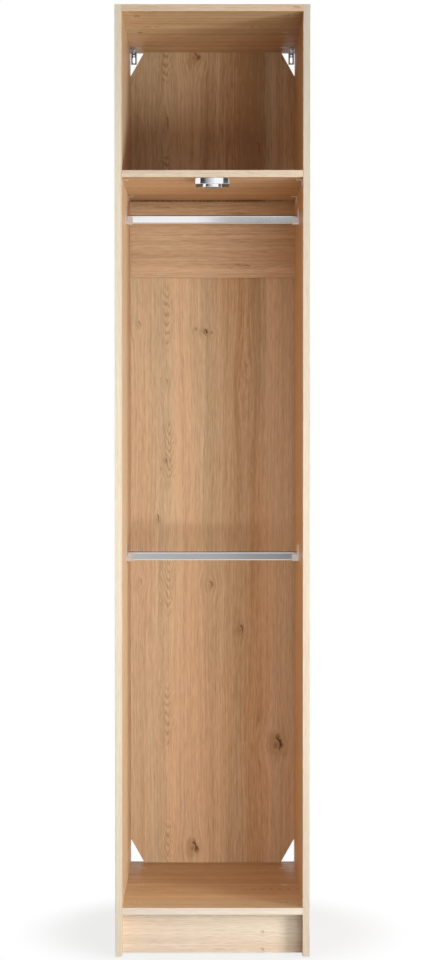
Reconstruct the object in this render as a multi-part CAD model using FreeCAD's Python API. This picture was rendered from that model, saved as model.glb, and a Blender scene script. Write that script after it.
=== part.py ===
import FreeCAD, Part
import math
import os

from FreeCAD import Matrix, Placement, Rotation, Vector

# Open wardrobe carcass with a hat shelf, two lift-out hanging rails and a tap light.
# Millimetres. X runs to the right, Y to the rear, Z up. The origin is on the floor,
# under the middle of the outline, so the front edges lie at Y = -DEPTH / 2.

# Outside of the carcass
WIDTH = 450.0
DEPTH = 560.0
HEIGHT = 2200.0

# Boards: melamine-faced chipboard with a strip glued on each front edge
BOARD = 16.0
EDGE_BAND = 1.0
EDGE_ROUND = 0.6

# Cross boards: floor to bottom board, and clear height between shelf and top
BOTTOM_UNDERSIDE = 100.0
HAT_SPACE = 364.0

# Shelf, cross board and plinth
SHELF_SIDE_GAP = 0.5
SHELF_REAR_GAP = 42.0
STRETCHER_HEIGHT = 192.0
STRETCHER_TOP_GAP = 1.0
STRETCHER_REAR_GAP = 2.0
PLINTH_SETBACK = 40.0

# Back sheet, slid into grooves; its corners are cut off at a slant
BACK_SHEET = 3.0
BACK_SETBACK = 12.0
BACK_ENTRY = 6.0
GROOVE_CLEARANCE = 0.15
CORNER_CUT_WIDTH = 44.0
CORNER_CUT_HEIGHT = 78.0
JOINT_STRIP_HEIGHT = 18.0
JOINT_STRIP_WALL = 1.0
JOINT_STRIP_END_GAP = 0.5

# Floor glides, nailed under the sides
GLIDE_HEIGHT = 3.0
GLIDE_RADIUS = 6.5
GLIDE_EDGE = 1.0
GLIDE_SETBACK = 40.0
GLIDE_NAIL_RADIUS = 1.25
GLIDE_NAIL_LENGTH = 15.0

# Cam joints: a turned cam in the cross board draws in a bolt screwed to the side
CAM_FRONT_SETBACK = 60.0
CAM_REAR_SETBACK = 88.0
CAM_INSET = 34.0
CAM_RADIUS = 7.5
CAM_BELOW_AXIS = 4.5
CAM_CAVITY_RADIUS = 5.0
CAM_SLOT_TURN = 190.0
CAM_CROSS_LENGTH = 7.0
CAM_CROSS_WIDTH = 1.6
CAM_CROSS_DEPTH = 2.0
BOLT_THREAD_RADIUS = 2.5
BOLT_THREAD_LENGTH = 10.5
BOLT_COLLAR_RADIUS = 3.7
BOLT_COLLAR_LENGTH = 1.5
BOLT_SHAFT_RADIUS = 3.0
BOLT_NECK_RADIUS = 1.9
BOLT_HEAD_RADIUS = 3.4
BOLT_HEAD_LENGTH = 3.4
BOLT_BORE_RADIUS = 4.0
DOWEL_OFFSET = 32.0
DOWEL_RADIUS = 4.0
DOWEL_IN_BOARD = 20.0
DOWEL_IN_SIDE = 10.0
STRETCHER_CAM_SPACING = 128.0
PLINTH_CAM_SPACING = 36.0

# Shelf supports: bent metal, pinned to the side and studded into the shelf
SUPPORT_FRONT_SETBACK = 53.0
SUPPORT_REAR_GAP = 80.0
SUPPORT_WIDTH = 12.0
SUPPORT_TONGUE = 14.0
SUPPORT_FLANGE = 14.0
SUPPORT_SHEET = 2.0
SUPPORT_PIN_RADIUS = 2.5
SUPPORT_PIN_LENGTH = 9.0
SUPPORT_PIN_DROP = 8.0
SUPPORT_STUD_RADIUS = 2.0
SUPPORT_STUD_LENGTH = 6.0
SUPPORT_STUD_REACH = 9.0

# Wall brackets: bent steel with a round hole and a slot for the wall screws
WALL_SHEET = 2.0
WALL_BEND = 3.0
WALL_WIDTH = 14.0
WALL_SIDE_GAP = 1.5
WALL_DROP = 28.5
WALL_REACH = 85.0
WALL_END_ROUND = 5.0
WALL_HOLE_RADIUS = 2.0
WALL_HOLE_DROP = 6.0
WALL_SLOT_RADIUS = 3.4
WALL_SLOT_LENGTH = 16.0
WALL_SLOT_DROP = 17.6
WALL_SCREW_REACH = 74.0
WALL_SCREW_RADIUS = 2.0
WALL_SCREW_HEAD_RADIUS = 4.0
WALL_SCREW_CROWN_RADIUS = 2.6
WALL_SCREW_HEAD_HEIGHT = 2.4
WALL_SCREW_RIM_HEIGHT = 1.2
WALL_SCREW_LENGTH = 12.0

# Hanging rails: hollow extrusion with beaded edges and a soft strip along the top
RAIL_SETBACK = 278.0
UPPER_RAIL_DROP = 71.0
LOWER_RAIL_HEIGHT = 916.0
RAIL_HEIGHT = 19.5
RAIL_THICKNESS = 12.0
RAIL_WALL = 1.4
RAIL_BEAD_RADIUS = 1.5
RAIL_FACE_RECESS = 0.5
RAIL_END_GAP = 1.0
STRIP_WIDTH = 4.0
STRIP_PROUD = 1.4
STRIP_LIP = 0.9
STRIP_FOOT_WIDTH = 6.4
STRIP_FOOT_HEIGHT = 1.6
STRIP_CLEARANCE = 0.1

# Rail brackets: cast plate with an open-topped cup and a screw lug above the rail
BRACKET_PLATE = 2.4
CUP_CLEARANCE = 0.4
CUP_WALL = 2.2
CUP_LENGTH = 13.0
CUP_ARM_RISE = 5.0
CUP_CORNER = 2.0
LUG_RISE = 12.0
BRACKET_EDGE = 0.5
BRACKET_SCREW_RADIUS = 1.75
BRACKET_SCREW_HEAD_RADIUS = 3.6
BRACKET_SCREW_HEAD_HEIGHT = 2.0
BRACKET_SCREW_LENGTH = 14.0

# Tap light under the front of the shelf: a bowed housing slid onto a screwed plate
LAMP_SETBACK = 6.0
LAMP_WIDTH = 83.0
LAMP_BOW_RADIUS = 175.0
LAMP_CORNER = 7.0
LAMP_EDGE = 0.6
LAMP_WALL = 1.6
LAMP_SHELF_GAP = 0.3
LAMP_SLIDE = 12.0
LEDGE_REACH = 1.4
LEDGE_HEIGHT = 0.6
PLATE_HEIGHT = 2.3
PLATE_SETBACK = 12.0
LIP_LENGTH = 10.0
LIP_HEIGHT = 1.1
LIP_SIDE_GAP = 1.0
TAB_REACH = 3.4
TAB_LENGTH = 9.0
TAB_SIDE_GAP = 0.4
TAB_CLEARANCE = 0.15
PLATE_SCREW_SPACING = 40.0
PLATE_SCREW_RADIUS = 1.4
PLATE_SCREW_HEAD_RADIUS = 2.6
PLATE_SCREW_HEAD_HEIGHT = 1.5
PLATE_SCREW_LENGTH = 12.0

# Inside the light: base plate with a tray of cells, circuit board on posts, push switch
BASE_SHEET = 1.0
BASE_CLEARANCE = 0.1
BATTERY_RADIUS = 5.2
BATTERY_LENGTH = 43.6
BATTERY_NUB_RADIUS = 1.9
BATTERY_NUB_LENGTH = 0.9
BATTERY_COUNT = 3
BATTERY_GAP = 0.1
BATTERY_HEADROOM = 0.25
TRAY_WALL = 0.7
TRAY_HEIGHT = 7.0
TRAY_ROOM = 1.4
POST_SIZE = 3.0
POST_HEIGHT = 6.0
POST_GAP = 1.5
POST_SPACING = 21.0
CIRCUIT_SHEET = 1.0
CIRCUIT_MARGIN = 1.0
CHIP_SIZE = 3.0
CHIP_HEIGHT = 0.7
CHIP_SPACING_X = 13.0
CHIP_SPACING_Y = 18.0
SWITCH_SIZE = 6.0
SWITCH_HEIGHT = 1.6
PLUNGER_RADIUS = 1.5
PLUNGER_CLEARANCE = 0.08

# Push lens: a chrome frame that hangs by its flange on the base plate, with the lens in it
FRAME_WIDTH = 45.0
FRAME_DEPTH = 32.0
FRAME_BOW_RADIUS = 95.0
FRAME_CORNER = 4.0
FRAME_EDGE = 0.4
FRAME_WALL = 1.4
FRAME_GAP = 0.2
FRAME_DROP = 7.2
FLANGE_REACH = 1.5
FLANGE_HEIGHT = 1.2
FLANGE_SETBACK = 7.0
LENS_TRAVEL = 1.5
LENS_LIP = 1.2
LENS_LIP_HEIGHT = 0.6
LENS_CLEARANCE = 0.1
LENS_SHEET = 1.5

# Room left round pieces that are pressed or screwed in
FIT = 0.05

# How far a cut runs past the surface it opens
OVERSHOOT = 1.0

# Places that follow from the sizes above
FRONT = -DEPTH / 2
REAR = DEPTH / 2
CORE_FRONT = FRONT + EDGE_BAND
INNER = WIDTH / 2 - BOARD
TOP_UNDERSIDE = HEIGHT - BOARD
SHELF_UNDERSIDE = TOP_UNDERSIDE - HAT_SPACE - BOARD
BOTTOM_TOP = BOTTOM_UNDERSIDE + BOARD
BACK_REAR = REAR - BACK_SETBACK
BACK_FRONT = BACK_REAR - BACK_SHEET
STRETCHER_REAR = BACK_FRONT - STRETCHER_REAR_GAP
SHELF_REAR = STRETCHER_REAR - BOARD - SHELF_REAR_GAP
STRETCHER_TOP = SHELF_UNDERSIDE - STRETCHER_TOP_GAP
STRETCHER_MIDDLE = STRETCHER_TOP - STRETCHER_HEIGHT / 2
PLINTH_FRONT = FRONT + PLINTH_SETBACK
PLINTH_MIDDLE = (GLIDE_HEIGHT + BOTTOM_UNDERSIDE) / 2
RAIL_Y = FRONT + RAIL_SETBACK
RAIL_LEVELS = {
    "upper": SHELF_UNDERSIDE - UPPER_RAIL_DROP,
    "lower": LOWER_RAIL_HEIGHT,
}
SIDES = {"left": -1, "right": 1}
UP = Vector(0, 0, 1)
DOWN = Vector(0, 0, -1)
BACKWARD = Vector(0, 1, 0)


def box(x0, x1, y0, y1, z0, z1):
    """A block between two opposite corners."""
    return Part.makeBox(x1 - x0, y1 - y0, z1 - z0, Vector(x0, y0, z0))


def outline(start, *steps):
    """A closed face; a step is a point for a straight edge or (middle, end) for an arc."""
    edges = []
    here = start
    for step in steps:
        if isinstance(step, tuple):
            middle, there = step
            edges.append(Part.Arc(here, middle, there).toShape())
        else:
            there = step
            edges.append(Part.makeLine(here, there))
        here = there
    if not here.isEqual(start, FIT):
        edges.append(Part.makeLine(here, start))
    return Part.Face(Part.Wire(edges))


def turned(profile, base, direction):
    """A solid of revolution from (radius, distance) points along an axis."""
    points = [Vector(radius, 0, along) for radius, along in profile]
    face = outline(*points)
    solid = face.revolve(Vector(0, 0, 0), UP, 360)
    solid.Placement = Placement(base, Rotation(UP, direction))
    return solid


def rod(radius, length, base, direction):
    return Part.makeCylinder(radius, length, base, direction)


def mirrored(shape):
    """The same piece on the other side of the wardrobe."""
    return shape.mirror(Vector(0, 0, 0), Vector(1, 0, 0))


def less(shape, cuts):
    """A shape with every cut taken out in one go."""
    return shape.cut(Part.makeCompound(cuts)).removeSplitter()


def countersunk_screw(radius, head_radius, head_height, length, base, direction):
    """A screw whose flat head lies flush at base; direction points into the material."""
    profile = [
        (0, 0),
        (head_radius, 0),
        (radius, head_height),
        (radius, length - radius),
        (0, length),
    ]
    return turned(profile, base, direction)


def countersunk_bore(radius, head_radius, head_height, length, base, direction):
    """The room for such a screw, wider by the fit all round."""
    cone = Part.makeCone(head_radius + 2 * FIT, radius + 2 * FIT, head_height, base, direction)
    return cone.fuse(rod(radius + FIT, length + FIT, base, direction))


# Cam joints

def joint_placement(y, z, side, mouth):
    """Local +X points into the side panel and local +Z out of the cam's mouth."""
    along = Vector(side, 0, 0)
    across = mouth.cross(along)
    matrix = Matrix(
        along.x, across.x, mouth.x, side * INNER,
        along.y, across.y, mouth.y, y,
        along.z, across.z, mouth.z, z,
        0, 0, 0, 1,
    )
    return Placement(matrix)


def placed(shape, placement):
    copy = shape.copy()
    copy.Placement = placement.multiply(copy.Placement)
    return copy


def cam_lock():
    """The cam: hollow, slit over half a turn for the bolt's neck, with a cross for the driver."""
    height = BOARD / 2 + CAM_BELOW_AXIS
    mouth = Vector(-CAM_INSET, 0, BOARD / 2)
    centre = Vector(-CAM_INSET, 0, 0)
    body = rod(CAM_RADIUS - FIT, height, mouth, DOWN)
    cavity_top = BOLT_HEAD_RADIUS + FIT * 4
    cavity = rod(CAM_CAVITY_RADIUS, height, centre + UP * cavity_top, DOWN)
    slit_half = BOLT_NECK_RADIUS + FIT * 6
    slit = Part.makeCylinder(CAM_RADIUS + OVERSHOOT, 2 * slit_half, DOWN * slit_half, UP, CAM_SLOT_TURN)
    slit.Placement = Placement(centre, Rotation(UP, -CAM_SLOT_TURN / 2))
    half_length = CAM_CROSS_LENGTH / 2
    half_width = CAM_CROSS_WIDTH / 2
    floor = BOARD / 2 - CAM_CROSS_DEPTH
    cross = [
        box(-CAM_INSET - a, -CAM_INSET + a, -b, b, floor, BOARD / 2 + OVERSHOOT)
        for a, b in ((half_length, half_width), (half_width, half_length))
    ]
    return less(body, [cavity, slit] + cross)


def cam_bolt():
    """The bolt: thread in the side, shaft in the board, neck and head inside the cam."""
    neck_start = CAM_INSET - CAM_RADIUS - OVERSHOOT
    head_start = CAM_INSET - BOLT_HEAD_LENGTH / 2
    head_end = head_start + BOLT_HEAD_LENGTH
    profile = [
        (0, -BOLT_THREAD_LENGTH),
        (BOLT_THREAD_RADIUS, -BOLT_THREAD_LENGTH),
        (BOLT_THREAD_RADIUS, 0),
        (BOLT_COLLAR_RADIUS, 0),
        (BOLT_COLLAR_RADIUS, BOLT_COLLAR_LENGTH),
        (BOLT_SHAFT_RADIUS, BOLT_COLLAR_LENGTH),
        (BOLT_SHAFT_RADIUS, neck_start),
        (BOLT_NECK_RADIUS, neck_start),
        (BOLT_NECK_RADIUS, head_start),
        (BOLT_HEAD_RADIUS, head_start),
        (BOLT_HEAD_RADIUS, head_end),
        (0, head_end),
    ]
    return turned(profile, Vector(0, 0, 0), Vector(-1, 0, 0))


def cam_bores():
    """Room for cam and bolt in the cross board."""
    mouth = Vector(-CAM_INSET, 0, BOARD / 2)
    depth = BOARD / 2 + CAM_BELOW_AXIS + FIT
    return [
        rod(CAM_RADIUS, depth, mouth, DOWN),
        rod(BOLT_BORE_RADIUS, CAM_INSET, Vector(0, 0, 0), Vector(-1, 0, 0)),
    ]


def bolt_pilot():
    """Hole for the bolt's thread in the side."""
    return rod(BOLT_THREAD_RADIUS + FIT, BOLT_THREAD_LENGTH + FIT, Vector(0, 0, 0), Vector(1, 0, 0))


def dowel(room=0.0):
    """A dowel across the joint, or the hole for it when room is given."""
    length = DOWEL_IN_BOARD + DOWEL_IN_SIDE + 2 * room
    return rod(DOWEL_RADIUS + room, length, Vector(-DOWEL_IN_BOARD - room, 0, 0), Vector(1, 0, 0))


class Joint:
    """Where one cross board meets the sides: its cams, bolts, dowels and their holes."""

    def __init__(self, cam_places, dowel_places, mouth):
        self.cams = []
        self.bolts = []
        self.dowels = []
        self.board_cuts = []
        self.side_cuts = {"left": [], "right": []}
        for name, side in SIDES.items():
            for y, z in cam_places:
                place = joint_placement(y, z, side, mouth)
                self.cams.append(placed(cam_lock(), place))
                self.bolts.append(placed(cam_bolt(), place))
                self.board_cuts += [placed(cut, place) for cut in cam_bores()]
                self.side_cuts[name].append(placed(bolt_pilot(), place))
            for y, z in dowel_places:
                place = joint_placement(y, z, side, mouth)
                hole = placed(dowel(FIT), place)
                self.dowels.append(placed(dowel(), place))
                self.board_cuts.append(hole)
                self.side_cuts[name].append(hole)


def flat_joint(z, mouth):
    """The joint of a level board: three cams and two dowels at each end."""
    front = FRONT + CAM_FRONT_SETBACK
    rear = REAR - CAM_REAR_SETBACK
    cams = [(y, z) for y in (front, (front + rear) / 2, rear)]
    dowels = [(y, z) for y in (front + DOWEL_OFFSET, rear - DOWEL_OFFSET)]
    return Joint(cams, dowels, mouth)


def stretcher_joint():
    y = STRETCHER_REAR - BOARD / 2
    half = STRETCHER_CAM_SPACING / 2
    cams = [(y, STRETCHER_MIDDLE + offset) for offset in (-half, half)]
    return Joint(cams, [(y, STRETCHER_MIDDLE)], BACKWARD)


def plinth_joint():
    y = PLINTH_FRONT + BOARD / 2
    half = PLINTH_CAM_SPACING / 2
    return Joint([(y, PLINTH_MIDDLE + half)], [(y, PLINTH_MIDDLE - half)], BACKWARD)


# Boards

def groove(x0, x1, z0, z1):
    """A groove for the back sheet."""
    return box(x0, x1, BACK_FRONT - GROOVE_CLEARANCE, BACK_REAR + GROOVE_CLEARANCE, z0, z1)


def groove_depth():
    return BACK_ENTRY + GROOVE_CLEARANCE


def left_side_panel(cuts):
    board = box(-WIDTH / 2, -INNER, CORE_FRONT, REAR, GLIDE_HEIGHT, HEIGHT)
    slot = groove(-INNER - groove_depth(), -INNER, GLIDE_HEIGHT, HEIGHT)
    return less(board, [slot] + cuts)


def top_panel(cuts):
    board = box(-INNER, INNER, CORE_FRONT, REAR, TOP_UNDERSIDE, HEIGHT)
    slot = groove(-INNER, INNER, TOP_UNDERSIDE, TOP_UNDERSIDE + groove_depth())
    return less(board, [slot] + cuts)


def bottom_panel(cuts):
    board = box(-INNER, INNER, CORE_FRONT, REAR, BOTTOM_UNDERSIDE, BOTTOM_TOP)
    slot = groove(-INNER, INNER, BOTTOM_TOP - groove_depth(), BOTTOM_TOP)
    return less(board, [slot] + cuts)


def hat_shelf(cuts):
    half = INNER - SHELF_SIDE_GAP
    board = box(-half, half, CORE_FRONT, SHELF_REAR, SHELF_UNDERSIDE, SHELF_UNDERSIDE + BOARD)
    return less(board, cuts)


def cross_board(cuts):
    bottom = STRETCHER_TOP - STRETCHER_HEIGHT
    board = box(-INNER, INNER, STRETCHER_REAR - BOARD, STRETCHER_REAR, bottom, STRETCHER_TOP)
    return less(board, cuts)


def plinth_board(cuts):
    rear = PLINTH_FRONT + BOARD
    board = box(-INNER, INNER, PLINTH_FRONT, rear, GLIDE_HEIGHT, BOTTOM_UNDERSIDE)
    return less(board, cuts)


def edge_band(x0, x1, z0, z1, long_direction):
    """A strip on a front edge, its two long front edges rounded."""
    strip = box(x0, x1, FRONT, CORE_FRONT, z0, z1)
    long_edges = [
        edge for edge in strip.Edges
        if abs(edge.BoundBox.YMax - FRONT) < FIT
        and edge.BoundBox.YLength < FIT
        and abs(edge.tangentAt(edge.FirstParameter).dot(long_direction)) > 0.5
    ]
    return strip.makeFillet(EDGE_ROUND, long_edges)


def edge_bands():
    across = Vector(1, 0, 0)
    shelf_half = INNER - SHELF_SIDE_GAP
    left = edge_band(-WIDTH / 2, -INNER, GLIDE_HEIGHT, HEIGHT, UP)
    return {
        "left_edge_band": left,
        "right_edge_band": mirrored(left),
        "top_edge_band": edge_band(-INNER, INNER, TOP_UNDERSIDE, HEIGHT, across),
        "shelf_edge_band": edge_band(
            -shelf_half, shelf_half, SHELF_UNDERSIDE, SHELF_UNDERSIDE + BOARD, across
        ),
        "bottom_edge_band": edge_band(-INNER, INNER, BOTTOM_UNDERSIDE, BOTTOM_TOP, across),
    }


def back_sheets():
    """Upper and lower back sheet, corners cut, and the strip that joins them."""
    half = INNER + BACK_ENTRY
    low = BOTTOM_TOP - BACK_ENTRY
    high = TOP_UNDERSIDE + BACK_ENTRY
    half_web = JOINT_STRIP_WALL / 2 + GROOVE_CLEARANCE

    def sheet(corner_end, joint_end, towards_joint):
        cut = towards_joint * CORNER_CUT_HEIGHT
        points = [
            Vector(-half, BACK_FRONT, joint_end),
            Vector(-half, BACK_FRONT, corner_end + cut),
            Vector(-half + CORNER_CUT_WIDTH, BACK_FRONT, corner_end),
            Vector(half - CORNER_CUT_WIDTH, BACK_FRONT, corner_end),
            Vector(half, BACK_FRONT, corner_end + cut),
            Vector(half, BACK_FRONT, joint_end),
        ]
        return outline(*points).extrude(BACKWARD * BACK_SHEET)

    front = BACK_FRONT - GROOVE_CLEARANCE
    rear = BACK_REAR + GROOVE_CLEARANCE
    strip_half = INNER - JOINT_STRIP_END_GAP
    strip_low = STRETCHER_MIDDLE - JOINT_STRIP_HEIGHT / 2
    strip_high = STRETCHER_MIDDLE + JOINT_STRIP_HEIGHT / 2
    web_low = STRETCHER_MIDDLE - JOINT_STRIP_WALL / 2
    web_high = STRETCHER_MIDDLE + JOINT_STRIP_WALL / 2
    strip = box(
        -strip_half, strip_half, front - JOINT_STRIP_WALL, rear + JOINT_STRIP_WALL, strip_low, strip_high
    )
    channels = [
        box(-strip_half, strip_half, front, rear, strip_low, web_low),
        box(-strip_half, strip_half, front, rear, web_high, strip_high),
    ]
    return {
        "back_sheet_lower": sheet(low, STRETCHER_MIDDLE - half_web, 1),
        "back_sheet_upper": sheet(high, STRETCHER_MIDDLE + half_web, -1),
        "back_joint_strip": less(strip, channels),
    }


def floor_glides():
    """Four glides and the holes for their nails, left pair first."""
    profile = [
        (0, 0),
        (GLIDE_RADIUS - GLIDE_EDGE, 0),
        (GLIDE_RADIUS, GLIDE_EDGE),
        (GLIDE_RADIUS, GLIDE_HEIGHT),
        (GLIDE_NAIL_RADIUS, GLIDE_HEIGHT),
        (GLIDE_NAIL_RADIUS, GLIDE_HEIGHT + GLIDE_NAIL_LENGTH - GLIDE_NAIL_RADIUS),
        (0, GLIDE_HEIGHT + GLIDE_NAIL_LENGTH),
    ]
    x = -(WIDTH / 2 - BOARD / 2)
    left = []
    holes = []
    for y in (FRONT + GLIDE_SETBACK, REAR - GLIDE_SETBACK):
        left.append(turned(profile, Vector(x, y, 0), UP))
        hole_top = GLIDE_HEIGHT + GLIDE_NAIL_LENGTH + FIT
        holes.append(rod(GLIDE_NAIL_RADIUS + FIT, hole_top, Vector(x, y, 0), UP))
    return left + [mirrored(glide) for glide in left], holes


# Shelf supports

def support_places():
    front = FRONT + SUPPORT_FRONT_SETBACK
    rear = SHELF_REAR - SUPPORT_REAR_GAP
    return {"front": front, "rear": rear}


def left_shelf_support(y):
    """An angle of sheet metal under the shelf, with a pin outward and a stud upward."""
    top = SHELF_UNDERSIDE
    sheet = SUPPORT_SHEET
    corner = Vector(-INNER, y - SUPPORT_WIDTH / 2, top)
    face = outline(
        corner,
        corner + Vector(SUPPORT_TONGUE, 0, 0),
        corner + Vector(SUPPORT_TONGUE, 0, -sheet),
        corner + Vector(2 * sheet, 0, -sheet),
        (
            corner + Vector(sheet * (2 - math.sqrt(0.5)), 0, -sheet * (2 - math.sqrt(0.5))),
            corner + Vector(sheet, 0, -2 * sheet),
        ),
        corner + Vector(sheet, 0, -SUPPORT_FLANGE),
        corner + Vector(0, 0, -SUPPORT_FLANGE),
    )
    angle = face.extrude(BACKWARD * SUPPORT_WIDTH)
    pin = rod(
        SUPPORT_PIN_RADIUS, SUPPORT_PIN_LENGTH + sheet / 2,
        Vector(-INNER + sheet / 2, y, top - SUPPORT_PIN_DROP), Vector(-1, 0, 0),
    )
    stud = rod(
        SUPPORT_STUD_RADIUS, SUPPORT_STUD_LENGTH + sheet / 2,
        Vector(-INNER + SUPPORT_STUD_REACH, y, top - sheet / 2), UP,
    )
    return angle.fuse([pin, stud]).removeSplitter()


def left_support_holes(y):
    """The pin's hole in the side and the stud's hole in the shelf."""
    pin_hole = rod(
        SUPPORT_PIN_RADIUS + FIT, SUPPORT_PIN_LENGTH + FIT,
        Vector(-INNER, y, SHELF_UNDERSIDE - SUPPORT_PIN_DROP), Vector(-1, 0, 0),
    )
    stud_hole = rod(
        SUPPORT_STUD_RADIUS + FIT, SUPPORT_STUD_LENGTH + FIT,
        Vector(-INNER + SUPPORT_STUD_REACH, y, SHELF_UNDERSIDE), UP,
    )
    return pin_hole, stud_hole


# Wall brackets

def left_wall_bracket():
    """An angle under the rear of the top panel; its upright leg takes the wall screws."""
    top = TOP_UNDERSIDE
    inner_bend = WALL_BEND - WALL_SHEET
    x = -INNER + WALL_SIDE_GAP
    diagonal = math.sqrt(0.5)

    def at(y, z):
        return Vector(x, REAR + y, top + z)

    face = outline(
        at(-WALL_REACH, 0),
        at(-WALL_BEND, 0),
        (at(-WALL_BEND * (1 - diagonal), -WALL_BEND * (1 - diagonal)), at(0, -WALL_BEND)),
        at(0, -WALL_DROP),
        at(-WALL_SHEET, -WALL_DROP),
        at(-WALL_SHEET, -WALL_BEND),
        (
            at(-WALL_BEND + inner_bend * diagonal, -WALL_BEND + inner_bend * diagonal),
            at(-WALL_BEND, -WALL_SHEET),
        ),
        at(-WALL_REACH, -WALL_SHEET),
    )
    angle = face.extrude(Vector(WALL_WIDTH, 0, 0))
    front_end = REAR - WALL_REACH
    end_edges = [
        edge for edge in angle.Edges
        if edge.BoundBox.YMax < front_end + FIT and edge.BoundBox.XLength < FIT
    ]
    angle = angle.makeFillet(WALL_END_ROUND, end_edges)
    middle = x + WALL_WIDTH / 2
    through = REAR - 2 * WALL_SHEET
    length = 3 * WALL_SHEET
    slot_half = WALL_SLOT_LENGTH / 2 - WALL_SLOT_RADIUS
    slot_z = top - WALL_SLOT_DROP
    cuts = [
        rod(WALL_HOLE_RADIUS, length, Vector(middle, through, top - WALL_HOLE_DROP), BACKWARD),
        rod(WALL_SLOT_RADIUS, length, Vector(middle, through, slot_z + slot_half), BACKWARD),
        rod(WALL_SLOT_RADIUS, length, Vector(middle, through, slot_z - slot_half), BACKWARD),
        box(
            middle - WALL_SLOT_RADIUS, middle + WALL_SLOT_RADIUS,
            through, through + length, slot_z - slot_half, slot_z + slot_half,
        ),
        rod(WALL_SCREW_RADIUS + 2 * FIT, length, Vector(middle, REAR - WALL_SCREW_REACH, top - length), UP),
    ]
    return less(angle, cuts)


def left_wall_screw():
    """Round-headed screw up through the bracket into the top panel, and its hole."""
    head = Vector(
        -INNER + WALL_SIDE_GAP + WALL_WIDTH / 2,
        REAR - WALL_SCREW_REACH,
        TOP_UNDERSIDE - WALL_SHEET - WALL_SCREW_HEAD_HEIGHT,
    )
    shoulder = WALL_SCREW_HEAD_HEIGHT
    end = shoulder + WALL_SHEET + WALL_SCREW_LENGTH
    profile = [
        (0, 0),
        (WALL_SCREW_CROWN_RADIUS, 0),
        (WALL_SCREW_HEAD_RADIUS, shoulder - WALL_SCREW_RIM_HEIGHT),
        (WALL_SCREW_HEAD_RADIUS, shoulder),
        (WALL_SCREW_RADIUS, shoulder),
        (WALL_SCREW_RADIUS, end - WALL_SCREW_RADIUS),
        (0, end),
    ]
    hole_base = Vector(head.x, head.y, TOP_UNDERSIDE)
    hole = rod(WALL_SCREW_RADIUS + FIT, WALL_SCREW_LENGTH + FIT, hole_base, UP)
    return turned(profile, head, UP), hole


# Hanging rails and their brackets

def rail_end():
    return INNER - BRACKET_PLATE - RAIL_END_GAP


def hanging_rail(level):
    """Hollow bar with a bead along each edge and an undercut groove in its top."""
    half = RAIL_THICKNESS / 2
    tall = RAIL_HEIGHT / 2
    bead = RAIL_BEAD_RADIUS
    flat = half - RAIL_FACE_RECESS
    bead_y = half - bead
    bead_z = tall - bead
    turn = math.acos((flat - bead_y) / bead)
    meet = bead_z - bead * math.sin(turn)
    x = -rail_end()

    def at(y, z):
        return Vector(x, RAIL_Y + y, level + z)

    def bead_point(sign_y, sign_z):
        return at(sign_y * half, sign_z * bead_z)

    face = outline(
        at(-bead_y, -tall),
        at(bead_y, -tall),
        (bead_point(1, -1), at(flat, -meet)),
        at(flat, meet),
        (bead_point(1, 1), at(bead_y, tall)),
        at(-bead_y, tall),
        (bead_point(-1, 1), at(-flat, meet)),
        at(-flat, -meet),
        (bead_point(-1, -1), at(-bead_y, -tall)),
    )
    length = 2 * rail_end()
    solid = face.extrude(Vector(length, 0, 0))
    groove_floor = strip_foot_bottom(level) - STRIP_CLEARANCE
    cuts = [
        box(
            x, -x, RAIL_Y - flat + RAIL_WALL, RAIL_Y + flat - RAIL_WALL,
            level - tall + RAIL_WALL, groove_floor - RAIL_WALL,
        ),
        box(
            x, -x, RAIL_Y - STRIP_WIDTH / 2 - STRIP_CLEARANCE, RAIL_Y + STRIP_WIDTH / 2 + STRIP_CLEARANCE,
            groove_floor, level + tall,
        ),
        box(
            x, -x, RAIL_Y - STRIP_FOOT_WIDTH / 2 - STRIP_CLEARANCE,
            RAIL_Y + STRIP_FOOT_WIDTH / 2 + STRIP_CLEARANCE,
            groove_floor, level + tall - STRIP_LIP,
        ),
    ]
    return less(solid, cuts)


def strip_foot_bottom(level):
    return level + RAIL_HEIGHT / 2 - STRIP_LIP - STRIP_CLEARANCE - STRIP_FOOT_HEIGHT


def rail_strip(level):
    """The soft strip: a wide foot under the groove's lips and a rounded crown above."""
    x = -rail_end()
    low = strip_foot_bottom(level)
    shoulder = low + STRIP_FOOT_HEIGHT
    crown = level + RAIL_HEIGHT / 2 + STRIP_PROUD
    half = STRIP_WIDTH / 2
    foot = STRIP_FOOT_WIDTH / 2

    def at(y, z):
        return Vector(x, RAIL_Y + y, z)

    face = outline(
        at(-foot, low),
        at(foot, low),
        at(foot, shoulder),
        at(half, shoulder),
        at(half, crown - STRIP_PROUD / 2),
        (at(0, crown), at(-half, crown - STRIP_PROUD / 2)),
        at(-half, shoulder),
        at(-foot, shoulder),
    )
    return face.extrude(Vector(2 * rail_end(), 0, 0))


def cup_outline(x, level, room, arm_top):
    """A U round the rail's lower part, room wider than the rail, open at the top."""
    half = RAIL_THICKNESS / 2 + room
    bottom = level - RAIL_HEIGHT / 2 - room
    corner = CUP_CORNER + room - CUP_CLEARANCE
    inset = corner * (1 - math.sqrt(0.5))

    def at(y, z):
        return Vector(x, RAIL_Y + y, z)

    return outline(
        at(-half, arm_top),
        at(-half, bottom + corner),
        (at(-half + inset, bottom + inset), at(-half + corner, bottom)),
        at(half - corner, bottom),
        (at(half - inset, bottom + inset), at(half, bottom + corner)),
        at(half, arm_top),
    )


def bracket_screw_heights(level):
    return (level, level + RAIL_HEIGHT / 2 + LUG_RISE)


def bevelled_at(shape, x):
    """A casting with the edges that lie in one upright plane bevelled."""
    edges = [
        edge for edge in shape.Edges
        if abs(edge.BoundBox.XMin - x) < FIT and abs(edge.BoundBox.XMax - x) < FIT
    ]
    return shape.makeChamfer(BRACKET_EDGE, edges)


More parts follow.
